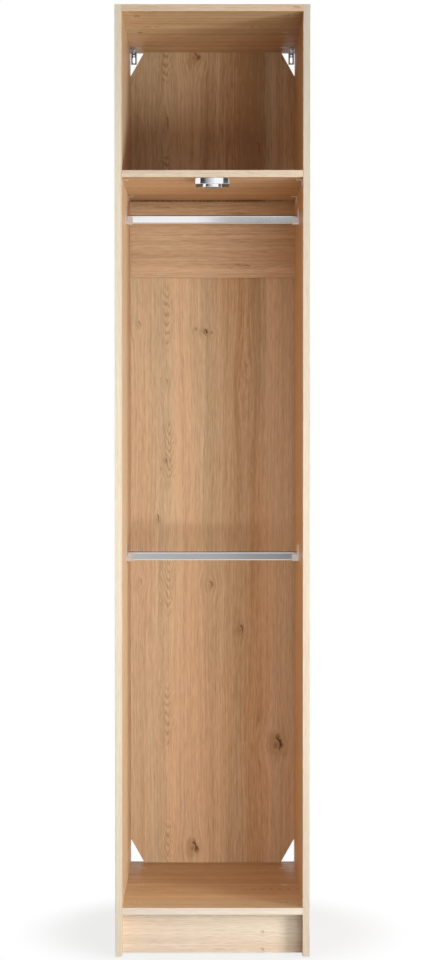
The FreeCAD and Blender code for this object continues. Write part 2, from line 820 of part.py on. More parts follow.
def left_rail_bracket(level):
    """Plate on the side, cup under the rail's end, rounded lug with a screw above it."""
    outer_room = CUP_CLEARANCE + CUP_WALL
    half = RAIL_THICKNESS / 2 + outer_room
    lug_z = bracket_screw_heights(level)[1]
    x = -INNER
    plate = cup_outline(x, level, outer_room, lug_z).extrude(Vector(BRACKET_PLATE, 0, 0))
    lug = rod(half, BRACKET_PLATE, Vector(x, RAIL_Y, lug_z), Vector(1, 0, 0))
    plate = bevelled_at(plate.fuse(lug).removeSplitter(), x + BRACKET_PLATE)
    arm_top = level + CUP_ARM_RISE
    reach = BRACKET_PLATE + CUP_LENGTH
    cup = cup_outline(x, level, outer_room, arm_top).extrude(Vector(reach, 0, 0))
    cup = bevelled_at(cup, x + reach)
    room = cup_outline(x + BRACKET_PLATE, level, CUP_CLEARANCE, arm_top).extrude(Vector(reach, 0, 0))
    casting = cup.cut(room).fuse(plate)
    bores = [
        countersunk_bore(
            BRACKET_SCREW_RADIUS, BRACKET_SCREW_HEAD_RADIUS, BRACKET_SCREW_HEAD_HEIGHT,
            BRACKET_PLATE, Vector(x + BRACKET_PLATE, RAIL_Y, z), Vector(-1, 0, 0),
        )
        for z in bracket_screw_heights(level)
    ]
    return less(casting, bores)


def left_bracket_screws(level):
    """Both screws of a bracket and their holes in the side."""
    screws = []
    holes = []
    for z in bracket_screw_heights(level):
        base = Vector(-INNER + BRACKET_PLATE, RAIL_Y, z)
        into_side = Vector(-1, 0, 0)
        screws.append(countersunk_screw(
            BRACKET_SCREW_RADIUS, BRACKET_SCREW_HEAD_RADIUS, BRACKET_SCREW_HEAD_HEIGHT,
            BRACKET_SCREW_LENGTH, base, into_side,
        ))
        holes.append(rod(BRACKET_SCREW_RADIUS + FIT, BRACKET_SCREW_LENGTH + FIT, base, into_side))
    return screws, holes


# Tap light; drops count down from the shelf's underside

TRAY_LENGTH = BATTERY_LENGTH + BATTERY_NUB_LENGTH + 2 * (BATTERY_GAP + TRAY_WALL)
TRAY_DEPTH = 2 * BATTERY_COUNT * (BATTERY_RADIUS + BATTERY_GAP) + 2 * TRAY_WALL
LAMP_FRONT = FRONT + LAMP_SETBACK
FRAME_FRONT = LAMP_FRONT + LAMP_WALL + FRAME_GAP
FRAME_MIDDLE = FRAME_FRONT + FRAME_DEPTH / 2
FRAME_REAR = FRAME_FRONT + FRAME_DEPTH
TRAY_FRONT = FRAME_REAR + FLANGE_REACH + TRAY_ROOM
TRAY_REAR = TRAY_FRONT + TRAY_DEPTH
LAMP_REAR = TRAY_REAR + TRAY_ROOM + BASE_CLEARANCE + LAMP_WALL
LAMP_INNER = LAMP_WIDTH / 2 - LAMP_WALL
BASE_TOP = PLATE_HEIGHT + BATTERY_HEADROOM + 2 * BATTERY_RADIUS + FIT
BASE_BOTTOM = BASE_TOP + BASE_SHEET
LAMP_BOTTOM = BASE_BOTTOM + LEDGE_HEIGHT
CIRCUIT_BOTTOM = BASE_TOP - POST_HEIGHT
SWITCH_BOTTOM = CIRCUIT_BOTTOM + SWITCH_HEIGHT
FLANGE_BOTTOM = BASE_TOP - FRAME_GAP
FRAME_TOP = FLANGE_BOTTOM - FLANGE_HEIGHT
FRAME_BOTTOM = LAMP_BOTTOM + FRAME_DROP
LENS_BOTTOM = FRAME_BOTTOM - LENS_LIP_HEIGHT
LENS_TOP = LENS_BOTTOM - LENS_SHEET
PLATE_FRONT = LAMP_FRONT + PLATE_SETBACK
PLATE_REAR = LAMP_REAR - LAMP_CORNER - LAMP_SLIDE
PLATE_HALF = LAMP_INNER - TAB_REACH - TAB_SIDE_GAP


def lamp_block(x0, x1, y0, y1, drop0, drop1):
    return box(x0, x1, y0, y1, SHELF_UNDERSIDE - drop1, SHELF_UNDERSIDE - drop0)


def lamp_rod(radius, x, y, drop0, drop1):
    return rod(radius, drop1 - drop0, Vector(x, y, SHELF_UNDERSIDE - drop0), DOWN)


def bowed_block(half, front, rear, radius, corner, drop0, drop1):
    """A block with a bowed front and rounded upright edges."""
    block = lamp_block(-half, half, front, rear, drop0, drop1)
    drum = lamp_rod(radius, 0, front + radius, drop0, drop1)
    bowed = block.common(drum)
    uprights = [edge for edge in bowed.Edges if edge.BoundBox.ZLength > (drop1 - drop0) / 2]
    return bowed.makeFillet(corner, uprights)


def housing_block(inset, drop0, drop1):
    """The housing's outline, drawn in all round by the inset."""
    return bowed_block(
        LAMP_WIDTH / 2 - inset, LAMP_FRONT + inset, LAMP_REAR - inset,
        LAMP_BOW_RADIUS - inset, LAMP_CORNER - inset, drop0, drop1,
    )


def frame_block(inset, drop0, drop1):
    """The lens frame's outline, drawn in all round by the inset."""
    return bowed_block(
        FRAME_WIDTH / 2 - inset, FRAME_FRONT + inset, FRAME_REAR - inset,
        FRAME_BOW_RADIUS - inset, FRAME_CORNER - inset, drop0, drop1,
    )


def rounded_below(shape, radius):
    """The same shape with its lowest edges rounded."""
    low = shape.BoundBox.ZMin
    return shape.makeFillet(radius, [edge for edge in shape.Edges if edge.BoundBox.ZMax < low + FIT])


def lip_places():
    """Front ends of the plate's two lips on either side."""
    return [PLATE_FRONT, PLATE_REAR - LIP_LENGTH]


def plate_screw_places():
    middle = (PLATE_FRONT + PLATE_REAR) / 2
    half = PLATE_SCREW_SPACING / 2
    return [Vector(sign * half, middle, SHELF_UNDERSIDE - PLATE_HEIGHT) for sign in SIDES.values()]


def lamp_mounting_plate():
    """Plate screwed under the shelf; its four lips carry the housing's tabs."""
    plate = lamp_block(-PLATE_HALF, PLATE_HALF, PLATE_FRONT, PLATE_REAR, 0, PLATE_HEIGHT)
    reach = LAMP_INNER - LIP_SIDE_GAP
    lips = [
        lamp_block(-reach, reach, y, y + LIP_LENGTH, PLATE_HEIGHT - LIP_HEIGHT, PLATE_HEIGHT)
        for y in lip_places()
    ]
    bores = [
        countersunk_bore(
            PLATE_SCREW_RADIUS, PLATE_SCREW_HEAD_RADIUS, PLATE_SCREW_HEAD_HEIGHT, PLATE_HEIGHT, place, UP
        )
        for place in plate_screw_places()
    ]
    return less(plate.fuse(lips), bores)


def lamp_plate_screws():
    """The plate's two screws and their holes in the shelf."""
    screws = []
    holes = []
    for place in plate_screw_places():
        screws.append(countersunk_screw(
            PLATE_SCREW_RADIUS, PLATE_SCREW_HEAD_RADIUS, PLATE_SCREW_HEAD_HEIGHT,
            PLATE_SCREW_LENGTH, place, UP,
        ))
        holes.append(rod(PLATE_SCREW_RADIUS + FIT, PLATE_SCREW_LENGTH + FIT, place, UP))
    return screws, holes


def lamp_housing():
    """Bowed sleeve with tabs over the plate's lips and ledges under the base plate."""
    sleeve = rounded_below(housing_block(0, LAMP_SHELF_GAP, LAMP_BOTTOM), LAMP_EDGE)
    room = housing_block(LAMP_WALL, LAMP_SHELF_GAP - OVERSHOOT, LAMP_BOTTOM + OVERSHOOT)
    wall_middle = LAMP_INNER + LAMP_WALL / 2
    straight_front = LAMP_FRONT + PLATE_SETBACK
    straight_rear = LAMP_REAR - LAMP_CORNER
    tab_bottom = PLATE_HEIGHT - LIP_HEIGHT - TAB_CLEARANCE
    inward = [lamp_block(
        -LAMP_INNER + LAMP_CORNER, LAMP_INNER - LAMP_CORNER,
        LAMP_REAR - LAMP_WALL - LEDGE_REACH, LAMP_REAR - LAMP_WALL / 2, BASE_BOTTOM, LAMP_BOTTOM,
    )]
    for sign in SIDES.values():
        ledge = sorted([sign * (LAMP_INNER - LEDGE_REACH), sign * wall_middle])
        inward.append(lamp_block(*ledge, straight_front, straight_rear, BASE_BOTTOM, LAMP_BOTTOM))
        tab = sorted([sign * (LAMP_INNER - TAB_REACH), sign * wall_middle])
        for y in lip_places():
            start = y + (LIP_LENGTH - TAB_LENGTH) / 2
            inward.append(lamp_block(*tab, start, start + TAB_LENGTH, LAMP_SHELF_GAP, tab_bottom))
    return less(sleeve, [room]).fuse(inward).removeSplitter()


def lamp_base_plate():
    """Floor of the housing: notched for the lens frame, with the cells' tray and four posts."""
    plate = housing_block(LAMP_WALL + BASE_CLEARANCE, BASE_TOP, BASE_BOTTOM)
    notch_half = FRAME_WIDTH / 2 + FRAME_GAP
    notch = lamp_block(
        -notch_half, notch_half, LAMP_FRONT, FRAME_REAR + FRAME_GAP,
        BASE_TOP - OVERSHOOT, BASE_BOTTOM + OVERSHOOT,
    )
    half = TRAY_LENGTH / 2
    tray = lamp_block(-half, half, TRAY_FRONT, TRAY_REAR, BASE_TOP - TRAY_HEIGHT, BASE_TOP)
    room = lamp_block(
        -half + TRAY_WALL, half - TRAY_WALL, TRAY_FRONT + TRAY_WALL, TRAY_REAR - TRAY_WALL,
        BASE_TOP - TRAY_HEIGHT - OVERSHOOT, BASE_TOP,
    )
    posts = []
    for sign in SIDES.values():
        near = sign * (FRAME_WIDTH / 2 + FLANGE_REACH + POST_GAP)
        across = sorted([near, near + sign * POST_SIZE])
        for step in (-1, 1):
            start = FRAME_MIDDLE + step * POST_SPACING / 2 - POST_SIZE / 2
            posts.append(lamp_block(*across, start, start + POST_SIZE, CIRCUIT_BOTTOM, BASE_BOTTOM))
    return less(plate, [notch]).fuse([less(tray, [room])] + posts).removeSplitter()


def lamp_batteries():
    """A row of cells from front to rear, every other one turned end for end."""
    profile = [
        (0, 0),
        (BATTERY_RADIUS, 0),
        (BATTERY_RADIUS, BATTERY_LENGTH),
        (BATTERY_NUB_RADIUS, BATTERY_LENGTH),
        (BATTERY_NUB_RADIUS, BATTERY_LENGTH + BATTERY_NUB_LENGTH),
        (0, BATTERY_LENGTH + BATTERY_NUB_LENGTH),
    ]
    z = SHELF_UNDERSIDE - (BASE_TOP - FIT - BATTERY_RADIUS)
    half_length = (BATTERY_LENGTH + BATTERY_NUB_LENGTH) / 2
    pitch = 2 * (BATTERY_RADIUS + BATTERY_GAP)
    cells = []
    for index in range(BATTERY_COUNT):
        y = TRAY_FRONT + TRAY_WALL + (index + 0.5) * pitch
        way = 1 if index % 2 else -1
        cells.append(turned(profile, Vector(-way * half_length, y, z), Vector(way, 0, 0)))
    return cells


def lamp_circuit():
    """The circuit board, its light chips and the push switch with its plunger."""
    board_half = FRAME_WIDTH / 2 + FLANGE_REACH + POST_GAP + POST_SIZE + CIRCUIT_MARGIN
    board_reach = (POST_SPACING + POST_SIZE) / 2 + CIRCUIT_MARGIN
    board = lamp_block(
        -board_half, board_half, FRAME_MIDDLE - board_reach, FRAME_MIDDLE + board_reach,
        CIRCUIT_BOTTOM - CIRCUIT_SHEET, CIRCUIT_BOTTOM,
    )
    chips = []
    half = CHIP_SIZE / 2
    for column in (-1, 0, 1):
        for row in (-0.5, 0.5):
            x = column * CHIP_SPACING_X
            y = FRAME_MIDDLE + row * CHIP_SPACING_Y
            chips.append(lamp_block(
                x - half, x + half, y - half, y + half, CIRCUIT_BOTTOM, CIRCUIT_BOTTOM + CHIP_HEIGHT
            ))
    reach = SWITCH_SIZE / 2
    switch = lamp_block(
        -reach, reach, FRAME_MIDDLE - reach, FRAME_MIDDLE + reach, CIRCUIT_BOTTOM, SWITCH_BOTTOM
    )
    switch_bore = lamp_rod(
        PLUNGER_RADIUS + PLUNGER_CLEARANCE, 0, FRAME_MIDDLE,
        CIRCUIT_BOTTOM - OVERSHOOT, SWITCH_BOTTOM + OVERSHOOT,
    )
    plunger_top = CIRCUIT_BOTTOM + LENS_TRAVEL + PLUNGER_CLEARANCE
    return {
        "lamp_circuit_board": board,
        "lamp_light_chips": chips,
        "lamp_switch_body": less(switch, [switch_bore]),
        "lamp_switch_plunger": lamp_rod(PLUNGER_RADIUS, 0, FRAME_MIDDLE, plunger_top, LENS_TOP),
    }


def lamp_lens_frame():
    """Chrome frame round the lens: a flange above the base plate and a lip under the lens."""
    tube = rounded_below(frame_block(0, FRAME_TOP, FRAME_BOTTOM), FRAME_EDGE)
    flange_half = FRAME_WIDTH / 2 + FLANGE_REACH
    flange = lamp_block(
        -flange_half, flange_half, FRAME_FRONT + FLANGE_SETBACK, FRAME_REAR + FLANGE_REACH,
        FRAME_TOP, FLANGE_BOTTOM,
    )
    room = frame_block(FRAME_WALL, FRAME_TOP - OVERSHOOT, LENS_BOTTOM)
    window = frame_block(FRAME_WALL + LENS_LIP, LENS_BOTTOM - OVERSHOOT, FRAME_BOTTOM + OVERSHOOT)
    return less(tube.fuse(flange), [room.fuse(window)])


def lamp_lens():
    """Frosted lens, lying on the frame's lip."""
    return frame_block(FRAME_WALL + LENS_CLEARANCE, LENS_TOP, LENS_BOTTOM)


# The whole wardrobe

def build():
    nodes = {}
    side_cuts = {"left": [], "right": []}
    shelf_cuts = []
    top_cuts = []

    joints = {
        "top": flat_joint(TOP_UNDERSIDE + BOARD / 2, DOWN),
        "bottom": flat_joint(BOTTOM_UNDERSIDE + BOARD / 2, UP),
        "cross_board": stretcher_joint(),
        "plinth": plinth_joint(),
    }
    dowels = []
    for name, joint in joints.items():
        nodes[f"{name}_cam_locks"] = joint.cams
        nodes[f"{name}_cam_bolts"] = joint.bolts
        dowels += joint.dowels
        for side in SIDES:
            side_cuts[side] += joint.side_cuts[side]
    nodes["wooden_dowels"] = dowels

    glides, glide_holes = floor_glides()
    nodes["floor_glides"] = glides
    mirrored_pair_cuts = list(glide_holes)

    for place, y in support_places().items():
        support = left_shelf_support(y)
        nodes[f"shelf_support_{place}_left"] = support
        nodes[f"shelf_support_{place}_right"] = mirrored(support)
        pin_hole, stud_hole = left_support_holes(y)
        mirrored_pair_cuts.append(pin_hole)
        shelf_cuts += [stud_hole, mirrored(stud_hole)]

    wall_bracket = left_wall_bracket()
    wall_screw, wall_screw_hole = left_wall_screw()
    nodes["wall_bracket_left"] = wall_bracket
    nodes["wall_bracket_right"] = mirrored(wall_bracket)
    nodes["wall_bracket_screws"] = [wall_screw, mirrored(wall_screw)]
    top_cuts += [wall_screw_hole, mirrored(wall_screw_hole)]

    bracket_screws = []
    for place, level in RAIL_LEVELS.items():
        nodes[f"{place}_rail"] = hanging_rail(level)
        nodes[f"{place}_rail_strip"] = rail_strip(level)
        bracket = left_rail_bracket(level)
        nodes[f"{place}_rail_bracket_left"] = bracket
        nodes[f"{place}_rail_bracket_right"] = mirrored(bracket)
        screws, holes = left_bracket_screws(level)
        bracket_screws += screws + [mirrored(screw) for screw in screws]
        mirrored_pair_cuts += holes
    nodes["rail_bracket_screws"] = bracket_screws

    nodes["lamp_mounting_plate"] = lamp_mounting_plate()
    plate_screws, plate_screw_holes = lamp_plate_screws()
    nodes["lamp_plate_screws"] = plate_screws
    shelf_cuts += plate_screw_holes
    nodes["lamp_housing"] = lamp_housing()
    nodes["lamp_base_plate"] = lamp_base_plate()
    nodes["lamp_batteries"] = lamp_batteries()
    nodes.update(lamp_circuit())
    nodes["lamp_lens_frame"] = lamp_lens_frame()
    nodes["lamp_lens"] = lamp_lens()

    side_cuts["left"] += mirrored_pair_cuts
    left_from_right = [mirrored(cut) for cut in side_cuts["right"]] + mirrored_pair_cuts
    nodes["left_side_panel"] = left_side_panel(side_cuts["left"])
    nodes["right_side_panel"] = mirrored(left_side_panel(left_from_right))
    nodes["top_panel"] = top_panel(joints["top"].board_cuts + top_cuts)
    nodes["bottom_panel"] = bottom_panel(joints["bottom"].board_cuts)
    nodes["hat_shelf"] = hat_shelf(shelf_cuts)
    nodes["cross_board"] = cross_board(joints["cross_board"].board_cuts)
    nodes["plinth_board"] = plinth_board(joints["plinth"].board_cuts)
    nodes.update(edge_bands())
    nodes.update(back_sheets())
    return nodes


def write(nodes):
    os.makedirs("parts", exist_ok=True)
    for name, shape in nodes.items():
        solids = shape if isinstance(shape, list) else [shape]
        Part.makeCompound(solids).exportStep(f"parts/{name}.step")
    print(len(nodes), "nodes written")


write(build())
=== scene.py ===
# %% [markdown]
# This lesson dresses an open wardrobe of oak-decor board: two tall sides, a top, a hat shelf, a bottom
# on a set-back plinth, a thin back, two hanging rails and a bow-fronted chrome lamp under the shelf.
# The solids come from the CAD model and are never moved. Blender gives them their finish, replaces the
# small screws by finer ones, and adds a camera and studio light like those of the photograph.

# %% Load the CAD model as a fixed frame
import math

import bmesh
import bpy
from mathutils import Matrix, Vector


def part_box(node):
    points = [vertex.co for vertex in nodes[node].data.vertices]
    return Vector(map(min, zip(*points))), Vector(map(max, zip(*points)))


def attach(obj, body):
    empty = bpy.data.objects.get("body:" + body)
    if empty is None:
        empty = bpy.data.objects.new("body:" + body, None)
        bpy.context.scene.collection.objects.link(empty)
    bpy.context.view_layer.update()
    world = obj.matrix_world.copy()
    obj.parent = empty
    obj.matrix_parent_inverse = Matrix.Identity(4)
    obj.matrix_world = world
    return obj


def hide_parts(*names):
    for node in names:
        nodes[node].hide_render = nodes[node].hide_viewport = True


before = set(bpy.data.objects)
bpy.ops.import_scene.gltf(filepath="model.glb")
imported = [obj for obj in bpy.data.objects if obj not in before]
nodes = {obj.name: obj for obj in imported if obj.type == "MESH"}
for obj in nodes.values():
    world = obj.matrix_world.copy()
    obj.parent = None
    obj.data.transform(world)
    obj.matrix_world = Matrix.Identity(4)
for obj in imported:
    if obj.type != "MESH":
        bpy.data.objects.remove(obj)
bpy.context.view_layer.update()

# %% [markdown]
# The photograph was taken from a little over five metres, at chest height, almost level, so the side
# edges stay nearly parallel. A long lens at that distance gives the same slight convergence. The camera
# is aimed with two small turns and needs no lens shift, so other views keep the object in the middle.

# %% Camera
SENSOR = 36.0
IMAGE_HEIGHT = 960
FOCAL_PIXELS = 2199.0
CAMERA_PLACE = (0.0044, -5.350, 1.2067)
LOOK_DOWN = math.radians(1.127)
LOOK_LEFT = math.radians(0.0724)

camera = bpy.data.objects.new("camera", bpy.data.cameras.new("camera"))
bpy.context.scene.collection.objects.link(camera)
camera.data.sensor_width = SENSOR
camera.data.lens = FOCAL_PIXELS * SENSOR / IMAGE_HEIGHT
camera.location = CAMERA_PLACE
camera.rotation_euler = (math.pi / 2 - LOOK_DOWN, 0.0, LOOK_LEFT)
bpy.context.scene.camera = camera
print("lens:", round(camera.data.lens, 2), "mm")

# %% [markdown]
# Node trees are easier to read when adding a node, linking it and doing sums take one short line each.
# These helpers do only that: a value may be a plain number or the output of another node.

# %% Helpers for node trees
def feed(tree, socket, value):
    """Links an output to a socket, or sets the socket to a constant."""
    if isinstance(value, bpy.types.NodeSocket):
        tree.links.new(value, socket)
    else:
        socket.default_value = value


def put(tree, kind, inputs=None, **settings):
    """Adds a node with its settings and its named or numbered inputs."""
    node = tree.nodes.new(kind)
    for name, value in settings.items():
        setattr(node, name, value)
    for key, value in (inputs or {}).items():
        feed(tree, node.inputs[key], value)
    return node


def calc(tree, operation, *values):
    """One Math node; returns its output."""
    node = put(tree, "ShaderNodeMath", dict(enumerate(values)), operation=operation)
    return node.outputs[0]


def soft_step(tree, value, low, high, to_low=0.0, to_high=1.0):
    """A smooth rise from to_low to to_high between two values."""
    node = put(tree, "ShaderNodeMapRange",
               {"Value": value, "From Min": low, "From Max": high, "To Min": to_low, "To Max": to_high},
               interpolation_type="SMOOTHSTEP")
    return node.outputs["Result"]


def stretched_noise(tree, along, across, seed, rate_along, rate_across, detail=2.0):
    """Noise drawn out along the grain: the rates are features per metre in the two directions."""
    place = put(tree, "ShaderNodeCombineXYZ", {
        0: calc(tree, "MULTIPLY", along, rate_along),
        1: calc(tree, "MULTIPLY", across, rate_across),
        2: seed})
    noise = put(tree, "ShaderNodeTexNoise", {"Vector": place.outputs[0], "Scale": 1.0, "Detail": detail})
    return noise.outputs["Fac"]


def round_noise(tree, place, scale):
    """Noise that looks the same in every direction."""
    return put(tree, "ShaderNodeTexNoise", {"Vector": place, "Scale": scale, "Detail": 3.0}).outputs["Fac"]


def mix_colour(tree, factor, first, second, blend_type="MIX"):
    """Blends two colours by a factor; 6, 7 and 2 are the node's colour sockets."""
    node = put(tree, "ShaderNodeMix", data_type="RGBA", blend_type=blend_type)
    feed(tree, node.inputs[0], factor)
    feed(tree, node.inputs[6], first)
    feed(tree, node.inputs[7], second)
    return node.outputs[2]


def new_group(name, inputs, outputs):
    """A shader node group; inputs are (name, kind, default), outputs (name, kind)."""
    tree = bpy.data.node_groups.new(name, "ShaderNodeTree")
    for label, kind, default in inputs:
        socket = tree.interface.new_socket(label, in_out="INPUT", socket_type="NodeSocket" + kind)
        socket.default_value = default
    for label, kind in outputs:
        tree.interface.new_socket(label, in_out="OUTPUT", socket_type="NodeSocket" + kind)
    return tree, tree.nodes.new("NodeGroupInput").outputs, tree.nodes.new("NodeGroupOutput").inputs


def use_group(tree, group, inputs):
    """Places a node group in a tree and returns its outputs."""
    node = put(tree, "ShaderNodeGroup", node_tree=group)
    for key, value in inputs.items():
        feed(tree, node.inputs[key], value)
    return node.outputs


def new_material(name):
    """An empty material: its tree, its Principled shader and its Object coordinates."""
    material = bpy.data.materials.new(name)
    material.use_nodes = True
    tree = material.node_tree
    shader = tree.nodes["Principled BSDF"]
    place = tree.nodes.new("ShaderNodeTexCoord").outputs["Object"]
    return material, tree, shader, place


def bump_from(tree, height, distance):
    """A Bump node of that depth in metres; returns its normal."""
    node = put(tree, "ShaderNodeBump", {"Height": height, "Distance": distance, "Strength": 1.0})
    return node.outputs["Normal"]


print("helpers ready")

# %% [markdown]
# The studio is a white sweep, lit from the right: a softbox low in front lights the back of the wardrobe,
# and one further round lights the left wall, so that it glows and the right wall gets only the light that
# the wood opposite throws back. Both stand low, with a narrowed beam, so the hat compartment stays darker.
# The background is white for the camera and in reflections, and gives the object a weaker white light.

# %% World
AMBIENT = 0.49

world = bpy.data.worlds.new("white_studio")
bpy.context.scene.world = world
world.use_nodes = True
tree = world.node_tree
path = tree.nodes.new("ShaderNodeLightPath").outputs
seen = calc(tree, "MAXIMUM", path["Is Camera Ray"],
            calc(tree, "MAXIMUM", path["Is Glossy Ray"], path["Is Transmission Ray"]))
background = tree.nodes["Background"]
background.inputs["Color"].default_value = (1.0, 1.0, 1.0, 1.0)
feed(tree, background.inputs["Strength"], soft_step(tree, seen, 0.0, 1.0, AMBIENT, 1.0))
bpy.context.scene.view_settings.view_transform = "Standard"
print("world light:", AMBIENT)

# %% Lights
FRONT = -0.28       # the wardrobe's front, from which distances are measured
LAMP_AIM = -0.10    # how deep in the wardrobe the lamps are aimed


def around(turn, distance, height):
    """A place round the wardrobe's front: the turn is in degrees to the right of straight ahead."""
    angle = math.radians(turn)
    return Vector((distance * math.sin(angle), FRONT - distance * math.cos(angle), height))


def softbox(name, place, aim_height, width, height, spread, watts):
    """A rectangular light aimed at the wardrobe, spread in degrees; metal mirrors the cards, not it."""
    lamp = bpy.data.objects.new(name, bpy.data.lights.new(name, "AREA"))
    bpy.context.scene.collection.objects.link(lamp)
    lamp.data.shape = "RECTANGLE"
    lamp.data.size = width
    lamp.data.size_y = height
    lamp.data.spread = math.radians(spread)
    lamp.data.energy = watts
    lamp.location = place
    lamp.rotation_euler = (Vector((0.0, LAMP_AIM, aim_height)) - place).to_track_quat("-Z", "Y").to_euler()
    lamp.visible_glossy = False
    print(name, watts, "W at", [round(v, 2) for v in place])


softbox("front_softbox", around(17.0, 3.0, 0.52), aim_height=1.42, width=1.9, height=0.9, spread=104.0,
        watts=19.5)
softbox("side_softbox", around(50.0, 3.0, 0.72), aim_height=0.82, width=0.9, height=1.1, spread=118.0,
        watts=33.0)

# %% [markdown]
# Polished metal shows its surroundings. In the photograph the chrome lamp mirrors a white studio with a
# dark strip on either side and a grey fade between, so cards like that stand in front of the wardrobe.
# Only reflections see them: they throw no shadow, and they take no light from the wood.

# %% Reflection cards
CARD_DISTANCE = 4.2
LAMP_CARD_LEVELS = (2.235, 3.60)    # the chrome lamp mirrors what stands above this
RAIL_CARD_LEVELS = (0.0, 2.225)     # the two rails mirror what stands below
LOW_CARD_LEVELS = (0.0, 1.40)       # only the lower rail mirrors what stands here


def card(name, turns, levels, shades):
    """An upright card that only reflections see: turns in degrees and shades are (left, right)."""
    middle = around(sum(turns) / 2, CARD_DISTANCE, sum(levels) / 2)
    width = 2 * CARD_DISTANCE * math.tan(math.radians(turns[1] - turns[0]) / 2)
    shape = bmesh.new()
    bmesh.ops.create_grid(shape, x_segments=1, y_segments=1, size=0.5)
    bmesh.ops.scale(shape, vec=(width, levels[1] - levels[0], 1.0), verts=shape.verts)
    piece = bpy.data.objects.new(name, bpy.data.meshes.new(name))
    shape.to_mesh(piece.data)
    shape.free()
    bpy.context.scene.collection.objects.link(piece)
    piece.location = middle
    piece.rotation_euler = (Vector((0.0, 0.0, middle.z)) - middle).to_track_quat("Z", "Y").to_euler()
    piece.visible_camera = False
    piece.visible_diffuse = False
    piece.visible_shadow = False
    piece.visible_transmission = False
    material, tree, shader, place = new_material(name)
    shader.inputs["Base Color"].default_value = (0.0, 0.0, 0.0, 1.0)
    shader.inputs["Specular IOR Level"].default_value = 0.0
    shader.inputs["Emission Color"].default_value = (1.0, 1.0, 1.0, 1.0)
    sideways = put(tree, "ShaderNodeSeparateXYZ", {0: place}).outputs["X"]
    fade = put(tree, "ShaderNodeMapRange", {
        "Value": sideways, "From Min": width / 2, "From Max": -width / 2,
        "To Min": shades[0], "To Max": shades[1]})
    feed(tree, shader.inputs["Emission Strength"], fade.outputs["Result"])
    piece.data.materials.append(material)
    print(name, "over", turns, "degrees")


card("left_dark_strip", (-19.0, -12.0), LAMP_CARD_LEVELS, (0.02, 0.04))
card("middle_fade", (-12.0, 4.0), LAMP_CARD_LEVELS, (0.13, 1.0))
card("right_dark_strip", (17.0, 24.0), LAMP_CARD_LEVELS, (0.03, 0.03))
card("right_grey_card", (24.0, 78.0), LAMP_CARD_LEVELS, (0.45, 0.45))
card("rail_card", (0.0, 9.0), RAIL_CARD_LEVELS, (0.38, 0.13))
card("low_rail_card", (-6.0, 2.0), LOW_CARD_LEVELS, (0.48, 0.40))

# %% Floor
FLOOR_HALF = 30.0
FLOOR_GREY = (0.16, 0.16, 0.16, 1.0)
FLOOR_GLOW = 0.78               # what the camera and the metal see besides the light on the floor
SHADOW_REACH = (0.30, 0.50)     # metres from the middle where the floor turns to plain white

shape = bmesh.new()
bmesh.ops.create_grid(shape, x_segments=1, y_segments=1, size=FLOOR_HALF)
floor = bpy.data.objects.new("floor", bpy.data.meshes.new("floor"))
shape.to_mesh(floor.data)
shape.free()
bpy.context.scene.collection.objects.link(floor)

material, tree, shader, place = new_material("white_floor")
floor.data.materials.append(material)
shader.inputs["Base Color"].default_value = FLOOR_GREY
shader.inputs["Roughness"].default_value = 0.9
shader.inputs["Specular IOR Level"].default_value = 0.0
path = tree.nodes.new("ShaderNodeLightPath").outputs
shader.inputs["Emission Color"].default_value = (1.0, 1.0, 1.0, 1.0)
watched = calc(tree, "MAXIMUM", path["Is Camera Ray"], path["Is Glossy Ray"])
feed(tree, shader.inputs["Emission Strength"], calc(tree, "MULTIPLY", watched, FLOOR_GLOW))
white = put(tree, "ShaderNodeEmission", {"Color": (1.0, 1.0, 1.0, 1.0), "Strength": 1.0})
away = put(tree, "ShaderNodeVectorMath", {0: place}, operation="LENGTH").outputs["Value"]
blank = calc(tree, "MULTIPLY", soft_step(tree, away, *SHADOW_REACH), path["Is Camera Ray"])
mixed = put(tree, "ShaderNodeMixShader", {0: blank, 1: shader.outputs[0], 2: white.outputs[0]})
feed(tree, tree.nodes["Material Output"].inputs["Surface"], mixed.outputs[0])
print("floor:", 2 * FLOOR_HALF, "m square")

# %% [markdown]
# The boards carry a printed oak decor. Wood figure comes from cutting a log lengthwise: the growth rings
# become straight lines far from the heart, and nested points where the cut runs close to it, because a log
# is a slender cone. Here a ring distance is worked out from two numbers per point, across and along the
# grain. Fibres of two lengths, both drawn out along the grain, give the board its fine texture.

# %% Node group: oak figure
RING_STEP = 0.0095       # metres of ring distance from one ring to the next
LOG_TAPER = 0.42         # how fast the ring distance grows along the board
HEART_NARROW = 2.2       # how much narrower the points are than a round log gives
HEART_DEPTH = 0.028      # metres from the cut to the heart, which rounds the points
HEART_REACH = 0.015      # metres either side of the heart where the points show
POINTS_EVERY = 0.34      # metres along the board from one run of points to the next
POINTS_AT = 1.51         # metres along the board to the middle of one run
POINTS_WANE = (-0.4, 0.7)    # cosines between which a run of points comes and goes
SLOW_SWAY = 0.030        # metres that the grain wanders over the board
QUICK_SWAY = 0.004       # metres that it trembles within a few centimetres
UNEVEN_RINGS = 2.6       # how many rings they crowd or spread in places
RAGGED_RINGS = 1.1       # how many rings their lines fray
LINE_START = 0.25        # where in a ring its dark line begins
LINE_PEAK = 0.75         # and where it is darkest
NESTED_SHARE = 0.4       # how much of the broad bands follows the points
PORE_LEVELS = (0.60, 0.74)

# noise features per metre, along and across the grain
SLOW_RATES = (1.1, 5.0)
QUICK_RATES = (30.0, 170.0)
UNEVEN_RATES = (4.0, 55.0)
WIDE_RATES = (0.35, 17.0)
NESTED_RATES = (0.0, 15.0)
WARMTH_RATES = (0.6, 11.0)
SHORT_FIBRES = (32.0, 420.0)
LONG_FIBRES = (2.5, 300.0)
PORE_RATES = (26.0, 520.0)

